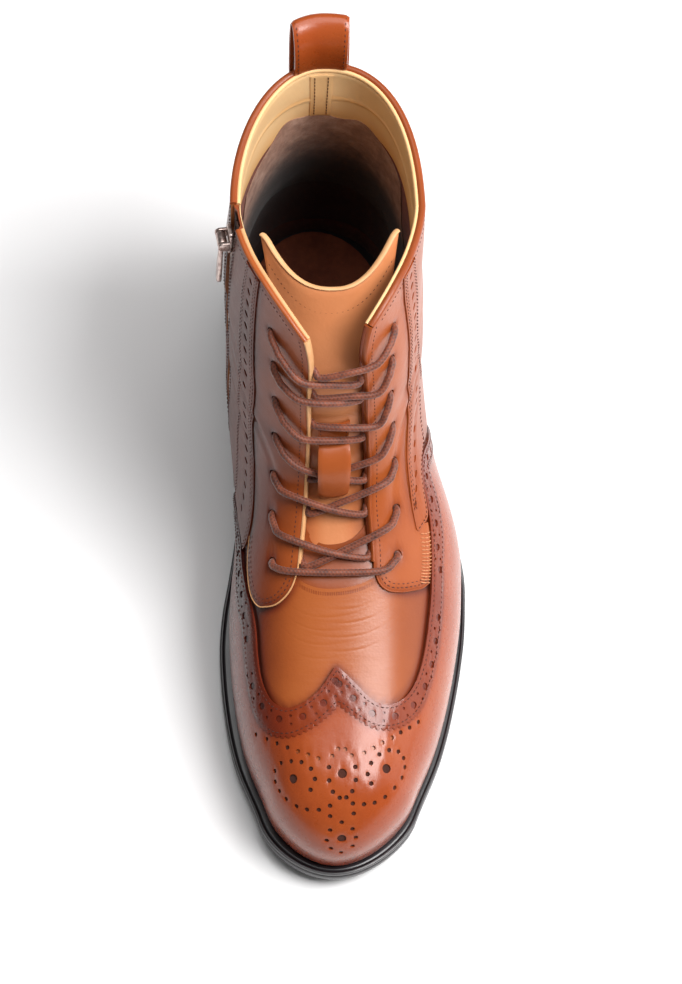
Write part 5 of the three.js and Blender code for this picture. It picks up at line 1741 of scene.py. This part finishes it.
# Zip
def zip_tapes():
    for name, side in (("front", 1), ("rear", -1)):
        share, rise = np.meshgrid(np.linspace(0.06, 1, 8), np.linspace(ZIP_FOOT[0] + 0.004, 0.985, 120))
        reach = (ZIP_SLOT / 2 + 1.2 + notch(rise)) * share
        middle = on_last(zip_line(rise, side * reach), rise, -0.45)
        thick_sheet(f"zip_tape_{name}", middle, 0.3, "tape", 0.5, replaces=["zip_strip"])


def zip_teeth():
    """Two rows of small teeth that mesh on the zip's line, each a rounded block."""
    pitch = 2.1
    line = np.column_stack([zip_line(np.linspace(0.21, 0.9, 300)), np.linspace(0.21, 0.9, 300)])
    places = at_spacing(line, pitch / 2)
    points, faces = [], []
    for k, (a, r) in enumerate(places):
        side = 1 if k % 2 else -1
        here = spot(a, r, 0.25)
        up = unit(spot(a, r + 0.003, 0.25) - spot(a, r - 0.003, 0.25))
        out = outward(a, r)
        across = np.cross(up, out)
        ahead = across if np.dot(across, (0, -1, 0)) > 0 else -across
        first = len(points)
        for height, spread in ((-0.6, 1.0), (0.25, 1.0), (0.55, 0.72)):
            for u, v in ((-1, -1), (1, -1), (1, 1), (-1, 1)):
                reach = side * 0.95 + u * 1.35 * spread
                points.append(here + ahead * reach + up * v * 0.42 * spread + out * height)
        faces += tube_faces(3, 4, first)
    make_piece("zip_teeth", np.array(points), faces, "nickel", sharp=30)


def zip_axes():
    ends = [last_point(zip_line(rise), rise) for rise in (SLIDER_RISE - 0.0425, SLIDER_RISE + 0.0425)]
    up = unit(ends[1] - ends[0])
    around = zip_line(SLIDER_RISE)
    turning = last_point(around + 0.25, SLIDER_RISE) - last_point(around - 0.25, SLIDER_RISE)
    rising = last_point(around, SLIDER_RISE + 0.004) - last_point(around, SLIDER_RISE - 0.004)
    out = unit(np.cross(turning, rising))
    across = unit(np.cross(up, out))
    return last_point(around, SLIDER_RISE), across, up, np.cross(across, up)


zip_origin, zip_across, zip_up, zip_out = zip_axes()
EYE_OUT = TOOTH_HEIGHT + GAP + SLIDER["base"] + SLIDER["eye"] + GAP


def on_zip(points):
    points = np.asarray(points, float)
    return zip_origin + points[:, :1] * zip_across + points[:, 1:2] * zip_up + points[:, 2:] * zip_out


def bevelled(outline, low, high, bevel, axis="out"):
    """A plate from an outline in two of the zip's directions, its edges bevelled in three steps."""
    outline = np.asarray(outline, float)
    centre = outline.mean(axis=0)
    size = np.abs(outline - centre).max(axis=0)
    rings = []
    steps = [(1, 0), (0.3, 0.3), (0, 1)]
    levels = [(low + bevel * up, inset) for inset, up in steps]
    levels += [(high - bevel * up, inset) for inset, up in steps[::-1]]
    for level, inset in levels:
        shrink = 1 - bevel * inset / size
        flat = centre + (outline - centre) * shrink
        if axis == "out":
            rings.append(np.column_stack([flat, np.full(len(flat), level)]))
        else:
            rings.append(np.column_stack([np.full(len(flat), level), flat]))
    return np.vstack(rings), tube_faces(len(rings), len(outline))


def joined(parts):
    points, faces, start = [], [], 0
    for part_points, part_faces in parts:
        points.append(part_points)
        faces += [tuple(index + start for index in face) for face in part_faces]
        start += len(part_points)
    return np.vstack(points), faces


def arc(centre, radius, start, end, count=10):
    turn = np.radians(np.linspace(start, end, count))
    return np.column_stack([centre[0] + radius * np.cos(turn), centre[1] + radius * np.sin(turn)])


def slider():
    half, long = SLIDER["width"] / 2, SLIDER["length"] / 2
    low = TOOTH_HEIGHT + GAP
    body = np.vstack([
        arc((half - 1.4, long - 1.6), 1.4, 0, 90), arc((-half + 1.4, long - 1.6), 1.4, 90, 180),
        [(-half, -1.0)], arc((-half + 1.9, -long + 1.2), 1.1, 190, 270),
        arc((half - 1.9, -long + 1.2), 1.1, 270, 350),
        [(half, -1.0)],
    ])
    parts = [bevelled(body, low, low + SLIDER["base"], 0.4)]
    for side in (-1, 1):
        inside_face = PULLER["barrel"] / 2 + GAP
        a, b = sorted((side * inside_face, side * (inside_face + SLIDER["lug"])))
        foot = low + SLIDER["base"] - 0.2
        lug = np.vstack([[(-2.1, foot)], [(2.1, foot)], arc((0, EYE_OUT), 2.1, 0, 180, 14)])
        parts.append(bevelled(lug, a, b, 0.3, axis="across"))
    points, faces = joined(parts)
    make_piece("zip_slider", on_zip(points), faces, "nickel", "boot", ["zip_slider"], sharp=30)


def puller():
    half = PULLER["barrel"] / 2
    turn = np.linspace(0, 2 * np.pi, 28, endpoint=False)
    eye = np.column_stack([np.cos(turn) * 2.05, EYE_OUT + np.sin(turn) * 2.05])
    parts = [bevelled(eye, -half, half, 0.35, axis="across")]
    shank, tab = PULLER["shank"] / 2, PULLER["width"] / 2
    long = PULLER["length"]
    outline = np.vstack([
        [(shank, 0.0)], [(shank, -9.5)], [(tab * 0.8, -12.0)], [(tab, -15.0)], [(tab, -long + tab)],
        arc((0, -long + tab), tab, 0, -180, 14)[1:], [(-tab, -15.0)], [(-tab * 0.8, -12.0)],
        [(-shank, -9.5)], [(-shank, 0.0)],
    ])[::-1]
    thick = PULLER["thick"] / 2
    parts.append(bevelled(outline, EYE_OUT - thick, EYE_OUT + thick, 0.45))
    points, faces = joined(parts)
    make_piece("zip_pull", on_zip(points), faces, "nickel", "puller", ["zip_pull"], sharp=30)


sole()
vamp()
shaft_shell()
wing_cap()
wing_band()
for side_name in ("inner", "outer"):
    lacing_panel(side_name)
side_panel()
back_panel()
for side_name in ("inner", "outer"):
    strip(side_name)
bar_tack()
throat_edges()
collar_edges()
top_lining()
side_linings()
heel_grip()
back_seam_strip()
lining_stitches()
tongue()
keeper()
pull_loop()
laces()
zip_tapes()
zip_teeth()
slider()
puller()


# Studio
def floor():
    mesh = bpy.data.meshes.new("studio_floor")
    half = 4.0
    corners = [(-half, -half, 0), (half, -half, 0), (half, half, 0), (-half, half, 0)]
    mesh.from_pydata(corners, [], [(0, 1, 2, 3)])
    mesh.materials.append(MATERIALS["floor"])
    piece = bpy.data.objects.new("studio_floor", mesh)
    bpy.context.collection.objects.link(piece)


# Each softbox: name, place, point aimed at, width and height in metres, and watts.
SOFTBOXES = [
    ("key_softbox", (0.75, -0.2, 1.35), (0, -0.03, 0.05), 0.8, 0.8, 29),
    ("top_softbox", (0.05, 0.35, 1.8), (0, 0, 0.05), 1.2, 1.2, 16),
    ("right_strip", (1.1, 0.15, 0.4), (0, 0.02, 0.1), 1.2, 0.6, 4),
]
WORLD_STRENGTH = 0.15
CAMERA = {
    "lens": 120.7,
    "place": (-0.0709, -0.5659, 1.3288),
    "aim": (-0.0015, 0.0012, 0.0655),
    "turned": 0.0262,
}


def softbox(name, place, aim, width, height, watts):
    light = bpy.data.lights.new(name, "AREA")
    light.shape = "RECTANGLE"
    light.size = width
    light.size_y = height
    light.energy = watts
    lamp = bpy.data.objects.new(name, light)
    lamp.location = place
    direction = Vector(aim) - Vector(place)
    lamp.rotation_euler = direction.to_track_quat("-Z", "Y").to_euler()
    bpy.context.collection.objects.link(lamp)


def studio():
    floor()
    world = bpy.data.worlds.new("studio")
    world.use_nodes = True
    background = world.node_tree.nodes["Background"]
    background.inputs["Color"].default_value = linear("#ffffff")
    background.inputs["Strength"].default_value = WORLD_STRENGTH
    bpy.context.scene.world = world
    for row in SOFTBOXES:
        softbox(*row)


def camera():
    data = bpy.data.cameras.new("camera")
    data.lens = CAMERA["lens"]
    lens = bpy.data.objects.new("camera", data)
    place = Vector(CAMERA["place"])
    forward = (Vector(CAMERA["aim"]) - place).normalized()
    right = Vector((math.cos(CAMERA["turned"]), -math.sin(CAMERA["turned"]), 0))
    right = (right - forward * right.dot(forward)).normalized()
    up = right.cross(forward)
    matrix = Matrix((right, up, -forward)).transposed().to_4x4()
    matrix.translation = place
    lens.matrix_world = matrix
    data.clip_start = 0.05
    bpy.context.collection.objects.link(lens)
    bpy.context.scene.camera = lens


studio()
camera()
bpy.context.scene.view_settings.view_transform = "Standard"
